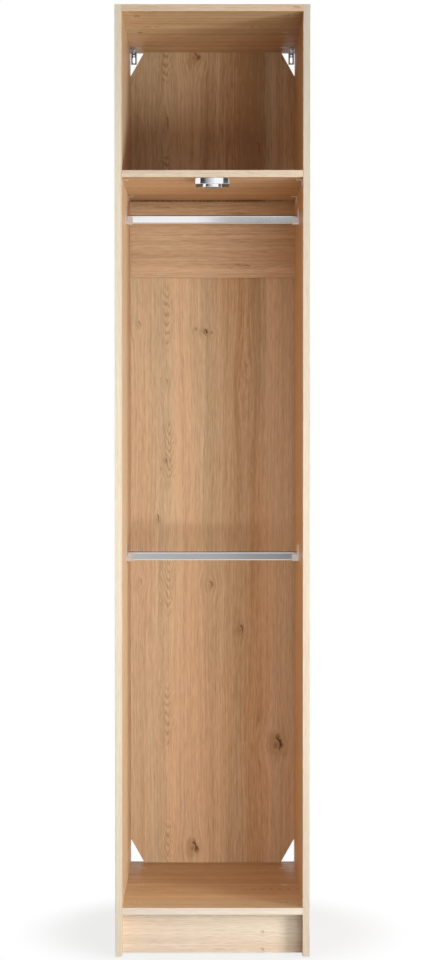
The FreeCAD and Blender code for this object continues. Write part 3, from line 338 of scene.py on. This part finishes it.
figure, given, result = new_group("oak figure", [
    ("Across", "Float", 0.0), ("Along", "Float", 0.0), ("Seed", "Float", 0.0), ("Heart", "Float", 0.0),
], [("Rings", "Float"), ("Bands", "Float"), ("Warmth", "Float"), ("Fibres", "Float"), ("Pores", "Float")])
along, seed = given["Along"], given["Seed"]
slow = stretched_noise(figure, along, given["Across"], seed, *SLOW_RATES)
quick = stretched_noise(figure, along, given["Across"], seed, *QUICK_RATES)
drift = calc(figure, "ADD", calc(figure, "MULTIPLY_ADD", slow, SLOW_SWAY, -SLOW_SWAY / 2),
             calc(figure, "MULTIPLY_ADD", quick, QUICK_SWAY, -QUICK_SWAY / 2))
across = calc(figure, "ADD", given["Across"], drift)

beside = calc(figure, "SUBTRACT", across, given["Heart"])
offset = calc(figure, "MULTIPLY", beside, HEART_NARROW)
radius = calc(figure, "SQRT", calc(figure, "MULTIPLY_ADD", offset, offset, HEART_DEPTH ** 2))
cone = calc(figure, "MULTIPLY_ADD", along, -LOG_TAPER, radius)
uneven = stretched_noise(figure, along, radius, seed, *UNEVEN_RATES)
count = calc(figure, "MULTIPLY_ADD", uneven, UNEVEN_RINGS, calc(figure, "DIVIDE", cone, RING_STEP))
saw = calc(figure, "FRACT", calc(figure, "MULTIPLY_ADD", quick, RAGGED_RINGS, count))
line = calc(figure, "MULTIPLY", soft_step(figure, saw, LINE_START, LINE_PEAK),
            soft_step(figure, saw, LINE_PEAK, 1.0, 1.0, 0.0))
far = calc(figure, "DIVIDE", beside, HEART_REACH)
fade = calc(figure, "EXPONENT", calc(figure, "MULTIPLY", calc(figure, "MULTIPLY", far, far), -1.0))
turn = calc(figure, "MULTIPLY_ADD", along, math.tau / POINTS_EVERY, -math.tau * POINTS_AT / POINTS_EVERY)
waning = soft_step(figure, calc(figure, "COSINE", turn), *POINTS_WANE)
feed(figure, result["Rings"], calc(figure, "MULTIPLY", line, calc(figure, "MULTIPLY", fade, waning)))

wide = stretched_noise(figure, along, across, seed, *WIDE_RATES)
nested = stretched_noise(figure, 0.0, radius, seed, *NESTED_RATES)
bands = calc(figure, "MULTIPLY_ADD", nested, NESTED_SHARE, calc(figure, "MULTIPLY", wide, 1.0 - NESTED_SHARE))
feed(figure, result["Bands"], bands)
other_seed = calc(figure, "ADD", seed, 5.0)
feed(figure, result["Warmth"], stretched_noise(figure, along, across, other_seed, *WARMTH_RATES))
short_fibres = stretched_noise(figure, along, across, seed, *SHORT_FIBRES)
long_fibres = stretched_noise(figure, along, across, seed, *LONG_FIBRES)
fibres = calc(figure, "MULTIPLY", calc(figure, "ADD", short_fibres, long_fibres), 0.5)
feed(figure, result["Fibres"], fibres)
pores = stretched_noise(figure, along, across, seed, *PORE_RATES, detail=1.0)
feed(figure, result["Pores"], soft_step(figure, pores, *PORE_LEVELS))
print("oak figure:", len(figure.nodes), "nodes")

# %% [markdown]
# A knot is where a branch left the trunk. The grain flows round it like water round a stone, and the
# branch itself shows as a ringed oval with a dark crescent on one side and a faint halo. One group bends
# the across coordinate near the knot, before the figure is worked out, and adds a mask of how dark the
# knot is. Several knots are placed by chaining the group.

# %% Node group: knot
KNOT_RINGS = 3.0         # rings from the middle of a knot to its rim
BEND_FADE = 0.18         # how quickly the bend of the grain fades away from the knot
BEND_PULL = 0.75         # how far the grain is pushed aside
EDGE_RATES = (55.0, 85.0)    # noise features per metre that make the outline ragged
CRESCENT_LEAN = 0.4      # how far the crescent leans towards the knot's upper end
HALO_SHADE = 0.30        # how dark the halo is beside the knot

knot, given, result = new_group("knot", [
    ("Across", "Float", 0.0), ("Along", "Float", 0.0), ("Shade", "Float", 0.0),
    ("Middle Across", "Float", 0.0), ("Middle Along", "Float", 0.0),
    ("Half Width", "Float", 0.01), ("Half Length", "Float", 0.012), ("Darkness", "Float", 0.5),
], [("Across", "Float"), ("Shade", "Float")])
sideways = calc(knot, "SUBTRACT", given["Across"], given["Middle Across"])
lengthways = calc(knot, "SUBTRACT", given["Along"], given["Middle Along"])
width_share = calc(knot, "DIVIDE", sideways, given["Half Width"])
length_share = calc(knot, "DIVIDE", lengthways, given["Half Length"])
spread = calc(knot, "ADD", calc(knot, "MULTIPLY", width_share, width_share),
              calc(knot, "MULTIPLY", length_share, length_share))
near = calc(knot, "EXPONENT", calc(knot, "MULTIPLY", spread, -BEND_FADE))
pull = calc(knot, "MULTIPLY", calc(knot, "MULTIPLY", sideways, near), BEND_PULL)
feed(knot, result["Across"], calc(knot, "SUBTRACT", given["Across"], pull))

ragged = stretched_noise(knot, given["Along"], given["Across"], 3.0, *EDGE_RATES, detail=1.0)
rough = calc(knot, "MULTIPLY", calc(knot, "SQRT", spread), calc(knot, "MULTIPLY_ADD", ragged, 1.2, 0.4))
turns = calc(knot, "COSINE", calc(knot, "MULTIPLY", rough, KNOT_RINGS * math.tau))
ringed = calc(knot, "MULTIPLY_ADD", turns, 0.18, 0.62)
core = calc(knot, "MULTIPLY", soft_step(knot, rough, 0.10, 0.60, 1.0, 0.0), ringed)
lean = calc(knot, "MULTIPLY_ADD", length_share, CRESCENT_LEAN, width_share)
crescent = calc(knot, "MULTIPLY", soft_step(knot, rough, 0.30, 0.65), soft_step(knot, lean, -0.25, 0.75))
rim = calc(knot, "MULTIPLY", crescent, soft_step(knot, rough, 0.75, 1.15, 1.0, 0.0))
halo = soft_step(knot, rough, 0.8, 2.4, HALO_SHADE, 0.0)
mark = calc(knot, "MAXIMUM", calc(knot, "MAXIMUM", core, rim), halo)
feed(knot, result["Shade"], calc(knot, "MAXIMUM", given["Shade"],
                                 calc(knot, "MULTIPLY", mark, given["Darkness"])))
print("knot:", len(knot.nodes), "nodes")

# %% [markdown]
# The tone group turns the figure into a finish: straw colour between the rings, warmer brown in the rings
# and fibres, rust to near-black brown in the knots, and broad bands that lean to red or to grey.
# It also puts out a roughness, because the print is pressed a little deeper and duller in the pores, and
# a height for that fine relief.

# %% Node group: oak tone
KNOT_RUST = (0.46, 0.255, 0.130, 1.0)
KNOT_BROWN = (0.075, 0.038, 0.018, 1.0)
RED_TINT = (1.0, 0.95, 0.89, 1.0)
GREY_TINT = (0.95, 1.0, 1.0, 1.0)
MIDDLE_BROWN = 0.36      # how brown the wood is where the figure adds nothing
BAND_WEIGHT = 1.3
FIBRE_WEIGHT = 1.9
RING_WEIGHT = 0.50
PORE_WEIGHT = 0.22

tone, given, result = new_group("oak tone", [
    ("Rings", "Float", 0.0), ("Bands", "Float", 0.5), ("Warmth", "Float", 0.5), ("Fibres", "Float", 0.5),
    ("Pores", "Float", 0.0), ("Knots", "Float", 0.0), ("Contrast", "Float", 1.0),
    ("Light", "Color", (0.8, 0.6, 0.4, 1.0)), ("Dark", "Color", (0.4, 0.25, 0.13, 1.0)),
], [("Color", "Color"), ("Roughness", "Float"), ("Height", "Float")])
broad = calc(tone, "MULTIPLY", calc(tone, "SUBTRACT", given["Bands"], 0.5), BAND_WEIGHT)
fine = calc(tone, "MULTIPLY", calc(tone, "SUBTRACT", given["Fibres"], 0.5), FIBRE_WEIGHT)
lines = calc(tone, "MULTIPLY", given["Rings"], RING_WEIGHT)
total = calc(tone, "ADD", calc(tone, "ADD", broad, fine), lines)
total = calc(tone, "MULTIPLY_ADD", given["Pores"], PORE_WEIGHT, total)
total = calc(tone, "MULTIPLY_ADD", total, given["Contrast"], MIDDLE_BROWN)
brown = put(tone, "ShaderNodeClamp", {"Value": total}).outputs[0]
wood = mix_colour(tone, brown, given["Light"], given["Dark"])
tint = mix_colour(tone, soft_step(tone, given["Warmth"], 0.36, 0.64), RED_TINT, GREY_TINT)
wood = mix_colour(tone, 1.0, wood, tint, "MULTIPLY")
wood = mix_colour(tone, soft_step(tone, given["Knots"], 0.0, 0.5), wood, KNOT_RUST)
feed(tone, result["Color"], mix_colour(tone, soft_step(tone, given["Knots"], 0.3, 1.0), wood, KNOT_BROWN))
feed(tone, result["Roughness"], calc(tone, "MULTIPLY_ADD", brown, 0.12, 0.38))
relief = calc(tone, "MULTIPLY_ADD", given["Pores"], -1.0, calc(tone, "MULTIPLY", lines, -0.4))
feed(tone, result["Height"], relief)
print("oak tone:", len(tone.nodes), "nodes")

# %% [markdown]
# Every board gets its own cut of the decor: the grain runs up the sides, the back and their edges, and
# along the top, the shelf, the bottom, the cross board and the plinth. The across coordinate adds the two
# other axes, so a face and the narrow edge beside it both get lines that run along the board.

# %% Oak board material
OAK_LIGHT = (0.88, 0.670, 0.465, 1.0)
OAK_DARK = (0.52, 0.325, 0.180, 1.0)
PORE_DEPTH = 0.00005
OAK_GLOSS = 0.30
STRIP_FADE = 0.012     # metres over which a strip, of decor or of painted light and shade, fades in and out
STRIP_PAST = 0.06      # metres that a strip runs past the edge of its board


def tinted(colour, tint):
    """A colour with each of its channels scaled."""
    return [value * share for value, share in zip(colour, (*tint, 1.0))]


def add_strip(tree, bands, across, low, high, darkness):
    """Darkens or lightens a soft-edged strip between two places across the grain; the back's strips are
    decor, the bottom's and the cross board's are painted light and shade.
    """
    rise = soft_step(tree, across, low - STRIP_FADE, low + STRIP_FADE, 0.0, darkness)
    fall = soft_step(tree, across, high - STRIP_FADE, high + STRIP_FADE, 1.0, 0.0)
    return calc(tree, "MULTIPLY_ADD", rise, fall, bands)


def oak_material(name, upright, seed, heart, tint, knots=(), strips=(), light=OAK_LIGHT, dark=OAK_DARK,
                 contrast=1.0):
    """Oak decor; knots are (across, along, half width, half length, darkness), in metres.

    Strips are (low, high, darkness), between two places across the grain.
    """
    material, tree, shader, place = new_material(name)
    axes = put(tree, "ShaderNodeSeparateXYZ", {0: place}).outputs
    if upright:
        along, across = axes["Z"], calc(tree, "ADD", axes["X"], axes["Y"])
    else:
        along, across = axes["X"], calc(tree, "ADD", axes["Y"], axes["Z"])
    shade = 0.0
    for middle_across, middle_along, half_width, half_length, darkness in knots:
        bent = use_group(tree, knot, {
            "Across": across, "Along": along, "Shade": shade, "Middle Across": middle_across,
            "Middle Along": middle_along, "Half Width": half_width, "Half Length": half_length,
            "Darkness": darkness})
        across, shade = bent["Across"], bent["Shade"]
    drawn = use_group(tree, figure, {"Across": across, "Along": along, "Seed": seed, "Heart": heart})
    bands = drawn["Bands"]
    # Strips add decor bands, or painted light and shade, to the broad bands.
    for low, high, darkness in strips:
        bands = add_strip(tree, bands, across, low, high, darkness)
    look = use_group(tree, tone, {
        "Rings": drawn["Rings"], "Bands": bands, "Warmth": drawn["Warmth"], "Fibres": drawn["Fibres"],
        "Pores": drawn["Pores"], "Knots": shade, "Contrast": contrast,
        "Light": tinted(light, tint), "Dark": tinted(dark, tint)})
    feed(tree, shader.inputs["Base Color"], look["Color"])
    feed(tree, shader.inputs["Roughness"], look["Roughness"])
    feed(tree, shader.inputs["Normal"], bump_from(tree, look["Height"], PORE_DEPTH))
    shader.inputs["Specular IOR Level"].default_value = OAK_GLOSS
    return material


def finish_node(node, material):
    """Gives a CAD node's slots one material."""
    for slot in nodes[node].material_slots:
        slot.material = material


# %% Sides, top and shelf
# The tints are painted shade: the right side, the top and the hat shelf are darker and browner than the left
# side, as their inner faces lie in shade.
for node, upright, seed, heart, tint, contrast in [
    ("left_side_panel", True, 1.7, -0.30, (0.99, 0.98, 0.97), 1.0),
    ("right_side_panel", True, 4.1, 0.28, (1.00, 0.86, 0.73), 1.0),
    ("top_panel", False, 7.3, 2.10, (0.92, 0.85, 0.72), 1.5),
    ("hat_shelf", False, 9.2, 1.75, (0.87, 0.77, 0.63), 1.0),
]:
    finish_node(node, oak_material("oak_" + node, upright, seed, heart, tint, contrast=contrast))
    print("oak finish on", node)

# %% Bottom panel, with painted light along its front and painted shade towards the back
low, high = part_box("bottom_panel")
front_edge = low.y + high.z
rear_edge = high.y + high.z
# Painted light and shade: the front strip is paler where light reaches the board; the rear strip and the
# board's browner tint are painted shade.
bottom_painted_light_and_shade = [(front_edge - STRIP_PAST, front_edge + 0.14, -0.16),
                 (high.z, rear_edge + STRIP_PAST, 0.16)]
finish_node("bottom_panel", oak_material("oak_bottom_panel", False, 12.6, 0.05, (0.92, 0.85, 0.74),
                                         strips=bottom_painted_light_and_shade))
print("oak finish on bottom_panel, strips:", len(bottom_painted_light_and_shade))

# %% Cross board, with a strip of painted shade along its upper part
low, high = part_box("cross_board")
# The strip is painted shade, where the shelf above shades the board's upper part.
cross_painted_shade = (low.y + high.z - 0.060, low.y + high.z + STRIP_PAST, 0.27)
cross_flames = [(low.y + level, middle, 0.004, half_length, 0.50)
                for level, middle, half_length in [(1.787, -0.133, 0.030), (1.764, -0.105, 0.045),
                                                   (1.772, 0.060, 0.035), (1.640, 0.070, 0.030)]]
finish_node("cross_board", oak_material("oak_cross_board", False, 15.4, 2.40, (1.06, 1.00, 0.96),
                                        cross_flames, [cross_painted_shade]))
print("oak finish on cross_board, strip from", round(cross_painted_shade[0], 3))

# %% Plinth, in paler colours than the other boards: painted light
# The plinth carries the same decor as the other boards; its paler, greyer colours and lighter tint are
# painted light.
PLINTH_LIT_PALE = (0.72, 0.610, 0.480, 1.0)
PLINTH_LIT_DARK = (0.50, 0.390, 0.275, 1.0)
low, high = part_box("plinth_board")
plinth_knots = [(low.y + level, middle, 0.005, 0.004, darkness)
                for level, middle, darkness in [(0.050, 0.117, 0.45), (0.008, 0.117, 0.55)]]
finish_node("plinth_board", oak_material("oak_plinth_board", False, 18.9, 2.40, (1.15, 1.14, 1.17),
                                         plinth_knots, light=PLINTH_LIT_PALE, dark=PLINTH_LIT_DARK, contrast=1.2))
print("oak finish on plinth_board, knots:", len(plinth_knots))

# %% [markdown]
# The back is one printed sheet behind the cross board, cut in two where the board hides the joint.
# Its figure is the most visible one, so its points and knots stand about where the photograph has them.

# %% Back sheet
BACK_KNOTS = [
    # across and along from the sheet's own place, then half sizes and darkness
    (0.079, 1.358, 0.011, 0.050, 0.30), (0.083, 1.270, 0.006, 0.070, 0.25),
    (-0.020, 1.475, 0.0065, 0.0065, 0.90), (-0.008, 1.472, 0.008, 0.004, 0.50),
    (-0.190, 1.487, 0.009, 0.013, 0.30),
    (-0.121, 1.346, 0.008, 0.010, 0.30), (-0.121, 1.146, 0.005, 0.007, 0.65),
    (-0.142, 0.997, 0.006, 0.016, 0.55), (-0.188, 0.835, 0.009, 0.012, 0.30),
    (-0.009, 0.828, 0.010, 0.012, 0.50), (0.070, 0.713, 0.009, 0.013, 0.75),
    (0.162, 0.418, 0.017, 0.024, 0.85), (0.116, 0.482, 0.006, 0.014, 0.45),
    (-0.052, 0.153, 0.013, 0.018, 0.75), (-0.047, 2.170, 0.014, 0.015, 0.70),
    (0.093, 2.116, 0.006, 0.008, 0.50), (-0.065, 2.145, 0.003, 0.026, 0.40),
    (-0.042, 1.481, 0.004, 0.004, 0.60), (-0.150, 1.152, 0.003, 0.006, 0.30),
    (-0.132, 1.124, 0.003, 0.005, 0.35), (0.124, 0.369, 0.003, 0.012, 0.35),
    (0.091, 0.179, 0.003, 0.012, 0.35), (0.111, 1.937, 0.011, 0.024, 0.65),
    (0.098, 2.041, 0.008, 0.050, 0.50), (-0.119, 2.005, 0.007, 0.022, 0.50),
]
BACK_STRIPS = [(-0.30, -0.032, -0.04), (0.030, 0.140, 0.28), (0.140, 0.30, -0.03)]
BACK_HEART = -0.116      # where the points run, from the middle of the sheet
BACK_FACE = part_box("back_sheet_upper")[0].y
back_knots = [(across + BACK_FACE, *rest) for across, *rest in BACK_KNOTS]
back_strips = [(low + BACK_FACE, high + BACK_FACE, darkness) for low, high, darkness in BACK_STRIPS]
# The upper sheet, in the hat compartment, is tinted darker than the lower one: painted shade.
for node, tint, contrast in [("back_sheet_upper", (0.83, 0.79, 0.72), 1.4),
                             ("back_sheet_lower", (1.01, 1.00, 0.965), 1.0)]:
    finish_node(node, oak_material("oak_" + node, True, 2.4, BACK_FACE + BACK_HEART, tint, back_knots,
                                   back_strips, contrast=contrast))
print("knots on the back:", len(back_knots), "strips:", len(back_strips))

# %% [markdown]
# The front edges of sides, top, shelf and bottom carry a glued strip of the same decor, paler than the
# faces. It uses the same groups with lighter colours, and the top's strip has two knots.

# %% Edge strips
EDGE_LIGHT = (0.73, 0.635, 0.515, 1.0)
EDGE_DARK = (0.54, 0.430, 0.310, 1.0)
low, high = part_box("top_edge_band")
top_edge_knots = [(low.y + (low.z + high.z) / 2, middle, 0.004, half_length, darkness)
                  for middle, half_length, darkness in [(0.190, 0.009, 0.50), (-0.139, 0.020, 0.25)]]
# The tints from strip to strip are painted light and shade: the left and bottom strips are lighter, the right
# and top strips darker, though all carry the same decor.
for node, upright, seed, tint, contrast in [
    ("left_edge_band", True, 21.0, (1.12, 1.14, 1.15), 0.8),
    ("right_edge_band", True, 23.5, (0.93, 0.92, 0.93), 0.8),
    ("top_edge_band", False, 26.1, (1.05, 0.90, 0.80), 1.2),
    ("shelf_edge_band", False, 28.8, (1.03, 0.94, 0.90), 1.6),
    ("bottom_edge_band", False, 31.2, (1.08, 1.11, 1.19), 0.8),
]:
    knots = top_edge_knots if node == "top_edge_band" else ()
    finish_node(node, oak_material("oak_" + node, upright, seed, 0.4, tint, knots, light=EDGE_LIGHT,
                                   dark=EDGE_DARK, contrast=contrast))
    print("edge strip on", node)

# %% [markdown]
# The metal parts differ in how they were finished: polished chrome on the lamp, bright nickel on the rail
# cups, smooth anodised aluminium on the rails, zinc on screws, brackets and cams. One group makes the
# fine drawn lines or cloudy patches of such surfaces; each material sets its own colour and gloss.

# %% Node group: metal surface
metal, given, result = new_group("metal surface", [
    ("Vector", "Vector", (0.0, 0.0, 0.0)), ("Lines", "Vector", (1.0, 1.0, 1.0)),
    ("Color", "Color", (0.8, 0.8, 0.8, 1.0)), ("Roughness", "Float", 0.2), ("Unevenness", "Float", 0.1),
], [("Color", "Color"), ("Roughness", "Float"), ("Height", "Float")])
scaled = put(metal, "ShaderNodeVectorMath", {0: given["Vector"], 1: given["Lines"]}, operation="MULTIPLY")
grain = round_noise(metal, scaled.outputs[0], 1.0)
cloud = round_noise(metal, given["Vector"], 60.0)
both = calc(metal, "SUBTRACT", calc(metal, "ADD", grain, cloud), 1.0)
change = calc(metal, "MULTIPLY", both, given["Unevenness"])
rough = calc(metal, "ADD", given["Roughness"], change)
feed(metal, result["Roughness"], calc(metal, "MAXIMUM", rough, 0.02))
dim = calc(metal, "SUBTRACT", 1.0, calc(metal, "MULTIPLY", calc(metal, "ABSOLUTE", change), 0.8))
feed(metal, result["Color"], mix_colour(metal, 1.0, given["Color"], dim, "MULTIPLY"))
feed(metal, result["Height"], grain)


def metal_material(name, colour, roughness, lines, unevenness, relief=0.0):
    """A metal finish; lines are noise features per metre along x, y and z."""
    material, tree, shader, place = new_material(name)
    look = use_group(tree, metal, {"Vector": place, "Lines": lines, "Color": (*colour, 1.0),
                                   "Roughness": roughness, "Unevenness": unevenness})
    feed(tree, shader.inputs["Base Color"], look["Color"])
    feed(tree, shader.inputs["Roughness"], look["Roughness"])
    shader.inputs["Metallic"].default_value = 1.0
    if relief:
        feed(tree, shader.inputs["Normal"], bump_from(tree, look["Height"], relief))
    return material


rail_metal = metal_material("anodised_rail", (0.93, 0.93, 0.94), 0.09, (4.0, 900.0, 900.0), 0.03)
nickel = metal_material("bright_nickel", (0.90, 0.94, 0.98), 0.34, (300.0, 300.0, 300.0), 0.08)
zinc = metal_material("zinc_plate", (0.42, 0.42, 0.44), 0.30, (250.0, 250.0, 250.0), 0.20, 0.000006)
screw_metal = metal_material("screw_zinc", (0.72, 0.72, 0.72), 0.22, (500.0, 500.0, 500.0), 0.14)
cam_metal = metal_material("cast_cam", (0.90, 0.85, 0.78), 0.36, (400.0, 400.0, 400.0), 0.20, 0.00001)
chrome = metal_material("polished_chrome", (0.93, 0.93, 0.94), 0.05, (90.0, 90.0, 90.0), 0.03)
spring_steel = metal_material("support_steel", (0.93, 0.90, 0.86), 0.42, (300.0, 300.0, 300.0), 0.12)
METAL_NODES = {
    rail_metal: ["upper_rail", "lower_rail"],
    nickel: ["upper_rail_bracket_left", "upper_rail_bracket_right", "lower_rail_bracket_left",
             "lower_rail_bracket_right"],
    zinc: ["wall_bracket_left", "wall_bracket_right"],
    screw_metal: ["wall_bracket_screws", "rail_bracket_screws", "lamp_plate_screws", "top_cam_bolts",
                  "bottom_cam_bolts", "cross_board_cam_bolts", "plinth_cam_bolts"],
    cam_metal: ["top_cam_locks", "bottom_cam_locks", "cross_board_cam_locks", "plinth_cam_locks"],
    chrome: ["lamp_housing", "lamp_lens_frame"],
    spring_steel: ["shelf_support_front_left", "shelf_support_front_right", "shelf_support_rear_left",
                   "shelf_support_rear_right"],
}
for material, names in METAL_NODES.items():
    for node in names:
        finish_node(node, material)
    print(material.name, "on", len(names), "nodes")

# %% [markdown]
# The screws that show have a cross recess for the driver. A three by three grid becomes the recess: its
# five cross faces are extruded down and narrowed, its rim is bridged to a circle, and that circle is
# extruded ring by ring into head, shank and point. One screw is made at the origin, pointing down.

# %% A screw with a cross recess
SCREW_SIDES = 24
RECESS_TAPER = 0.6


def cross_screw(shape, rings, slot_half_length, slot_half_width, slot_depth):
    """Adds a screw to a bmesh; rings are (radius, depth) from the head's face to the point."""
    grid = bmesh.ops.create_grid(shape, x_segments=3, y_segments=3, size=slot_half_length)["verts"]
    for corner in grid:
        for axis in range(2):
            if abs(corner.co[axis]) < slot_half_length / 2:
                corner.co[axis] = math.copysign(slot_half_width, corner.co[axis])
    cells = {face for corner in grid for face in corner.link_faces}
    rim = [edge for edge in {e for face in cells for e in face.edges} if edge.is_boundary]
    slots = [cell for cell in cells if min(abs(v) for v in cell.calc_center_median().xy) < slot_half_width]
    floor = bmesh.ops.extrude_face_region(shape, geom=slots)["geom"]
    floor = [part for part in floor if isinstance(part, bmesh.types.BMVert)]
    bmesh.ops.translate(shape, vec=(0.0, 0.0, -slot_depth), verts=floor)
    bmesh.ops.scale(shape, vec=(RECESS_TAPER, RECESS_TAPER, 1.0), verts=floor)
    ring = bmesh.ops.create_circle(shape, segments=SCREW_SIDES, radius=rings[0][0])["verts"]
    loop = list({edge for corner in ring for edge in corner.link_edges})
    bmesh.ops.bridge_loops(shape, edges=rim + loop)
    made = grid + floor + ring
    for (radius, depth), (next_radius, next_depth) in zip(rings, rings[1:]):
        grown = bmesh.ops.extrude_edge_only(shape, edges=loop)["geom"]
        ring = [part for part in grown if isinstance(part, bmesh.types.BMVert)]
        edges = [part for part in grown if isinstance(part, bmesh.types.BMEdge)]
        loop = [edge for edge in edges if set(ring).issuperset(edge.verts)]
        share = next_radius / radius
        bmesh.ops.translate(shape, vec=(0.0, 0.0, depth - next_depth), verts=ring)
        bmesh.ops.scale(shape, vec=(share, share, 1.0), verts=ring)
        made += ring
    bmesh.ops.edgeloop_fill(shape, edges=loop)
    return made


def screw_set(name, places, rings, slot, replaced):
    """One piece of several screws; places are (head centre, direction of the point)."""
    shape = bmesh.new()
    for place, direction in places:
        made = cross_screw(shape, rings, *slot)
        turn = Vector((0.0, 0.0, -1.0)).rotation_difference(Vector(direction))
        stand = Matrix.Translation(place) @ turn.to_matrix().to_4x4()
        bmesh.ops.transform(shape, matrix=stand, verts=made)
    bmesh.ops.recalc_face_normals(shape, faces=shape.faces)
    piece = bpy.data.objects.new(name, bpy.data.meshes.new(name))
    shape.to_mesh(piece.data)
    shape.free()
    bpy.context.scene.collection.objects.link(piece)
    piece.data.materials.append(screw_metal)
    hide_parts(replaced)
    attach(piece, "carcass")
    print(name, len(places), "screws,", len(piece.data.polygons), "faces")


# %% [markdown]
# Two countersunk screws hold each rail bracket, one behind the rail's end and one in the lug above it.
# A round-headed screw holds each wall bracket up against the top panel. Their places are read from the
# boxes of the brackets and rails, so that they follow the model.

# %% Bracket screws
BRACKET_PLATE = 0.0024
LUG_RISE = 0.012
COUNTERSUNK = [(0.0036, 0.0), (0.00175, 0.0020), (0.00175, 0.01225), (0.0003, 0.0140)]
HEAD_RADIUS = 0.0040
ROUND_HEAD = [(0.0026, 0.0), (0.0035, 0.0004), (HEAD_RADIUS, 0.0012), (HEAD_RADIUS, 0.0024),
              (0.0020, 0.0024), (0.0020, 0.0144), (0.0003, 0.0164)]
CROSS_SLOT = (0.0019, 0.00036, 0.0013)      # half length, half width and depth of the recess

bracket_places = []
for rail in ("upper_rail", "lower_rail"):
    low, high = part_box(rail)
    for side, outward in (("left", -1.0), ("right", 1.0)):
        bracket_low, bracket_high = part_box(f"{rail}_bracket_{side}")
        wall = bracket_low.x if outward < 0 else bracket_high.x
        for level in ((low.z + high.z) / 2, high.z + LUG_RISE):
            head = Vector((wall - outward * BRACKET_PLATE, (low.y + high.y) / 2, level))
            bracket_places.append((head, (outward, 0.0, 0.0)))
screw_set("rail_bracket_cross_screws", bracket_places, COUNTERSUNK, CROSS_SLOT, "rail_bracket_screws")

low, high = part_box("wall_bracket_screws")
side = high.x - HEAD_RADIUS
wall_places = [(Vector((x, (low.y + high.y) / 2, low.z)), (0.0, 0.0, 1.0)) for x in (-side, side)]
screw_set("wall_bracket_cross_screws", wall_places, ROUND_HEAD, CROSS_SLOT, "wall_bracket_screws")

# %% [markdown]
# Plastic parts are moulded, so their skin has a very fine grain and a slightly uneven gloss.
# One group gives that, from the rubber strips on the rails to the smoked lens of the lamp.

# %% Node group: moulded skin
skin, given, result = new_group("moulded skin", [
    ("Vector", "Vector", (0.0, 0.0, 0.0)), ("Color", "Color", (0.8, 0.8, 0.8, 1.0)),
    ("Roughness", "Float", 0.4), ("Grain", "Float", 900.0),
], [("Color", "Color"), ("Roughness", "Float"), ("Height", "Float")])
grain = round_noise(skin, given["Vector"], given["Grain"])
cloud = round_noise(skin, given["Vector"], 45.0)
gloss = calc(skin, "MULTIPLY_ADD", cloud, 0.16, -0.08)
feed(skin, result["Roughness"], calc(skin, "ADD", given["Roughness"], gloss))
dim = soft_step(skin, cloud, 0.2, 0.8, 0.90, 1.0)
feed(skin, result["Color"], mix_colour(skin, 1.0, given["Color"], dim, "MULTIPLY"))
feed(skin, result["Height"], grain)


def plastic_material(name, colour, roughness, grain=900.0, relief=0.00002):
    """A moulded plastic finish."""
    material, tree, shader, place = new_material(name)
    look = use_group(tree, skin, {"Vector": place, "Color": (*colour, 1.0), "Roughness": roughness,
                                  "Grain": grain})
    feed(tree, shader.inputs["Base Color"], look["Color"])
    feed(tree, shader.inputs["Roughness"], look["Roughness"])
    feed(tree, shader.inputs["Normal"], bump_from(tree, look["Height"], relief))
    return material


PLASTIC_NODES = {
    plastic_material("rubber_strip", (0.045, 0.045, 0.05), 0.62): ["upper_rail_strip", "lower_rail_strip"],
    plastic_material("glide_plastic", (0.20, 0.17, 0.145), 0.55): ["floor_glides"],
    plastic_material("joint_plastic", (0.70, 0.60, 0.47), 0.50): ["back_joint_strip"],
    plastic_material("lamp_white", (0.82, 0.82, 0.80), 0.42): ["lamp_mounting_plate"],
    plastic_material("lamp_base", (0.11, 0.085, 0.065), 0.50): ["lamp_base_plate"],
    plastic_material("battery_wrap", (0.10, 0.17, 0.28), 0.28): ["lamp_batteries"],
    plastic_material("circuit_green", (0.06, 0.22, 0.09), 0.30): ["lamp_circuit_board"],
    plastic_material("chip_yellow", (0.80, 0.66, 0.22), 0.35): ["lamp_light_chips"],
    plastic_material("switch_black", (0.04, 0.04, 0.045), 0.45): ["lamp_switch_body", "lamp_switch_plunger"],
    plastic_material("dowel_beech", (0.72, 0.55, 0.36), 0.65, 500.0, 0.0001): ["wooden_dowels"],
    plastic_material("smoked_lens", (0.095, 0.080, 0.070), 0.22, 700.0, 0.00004): ["lamp_lens"],
}
for material, names in PLASTIC_NODES.items():
    for node in names:
        finish_node(node, material)
    print(material.name, "on", len(names), "nodes")
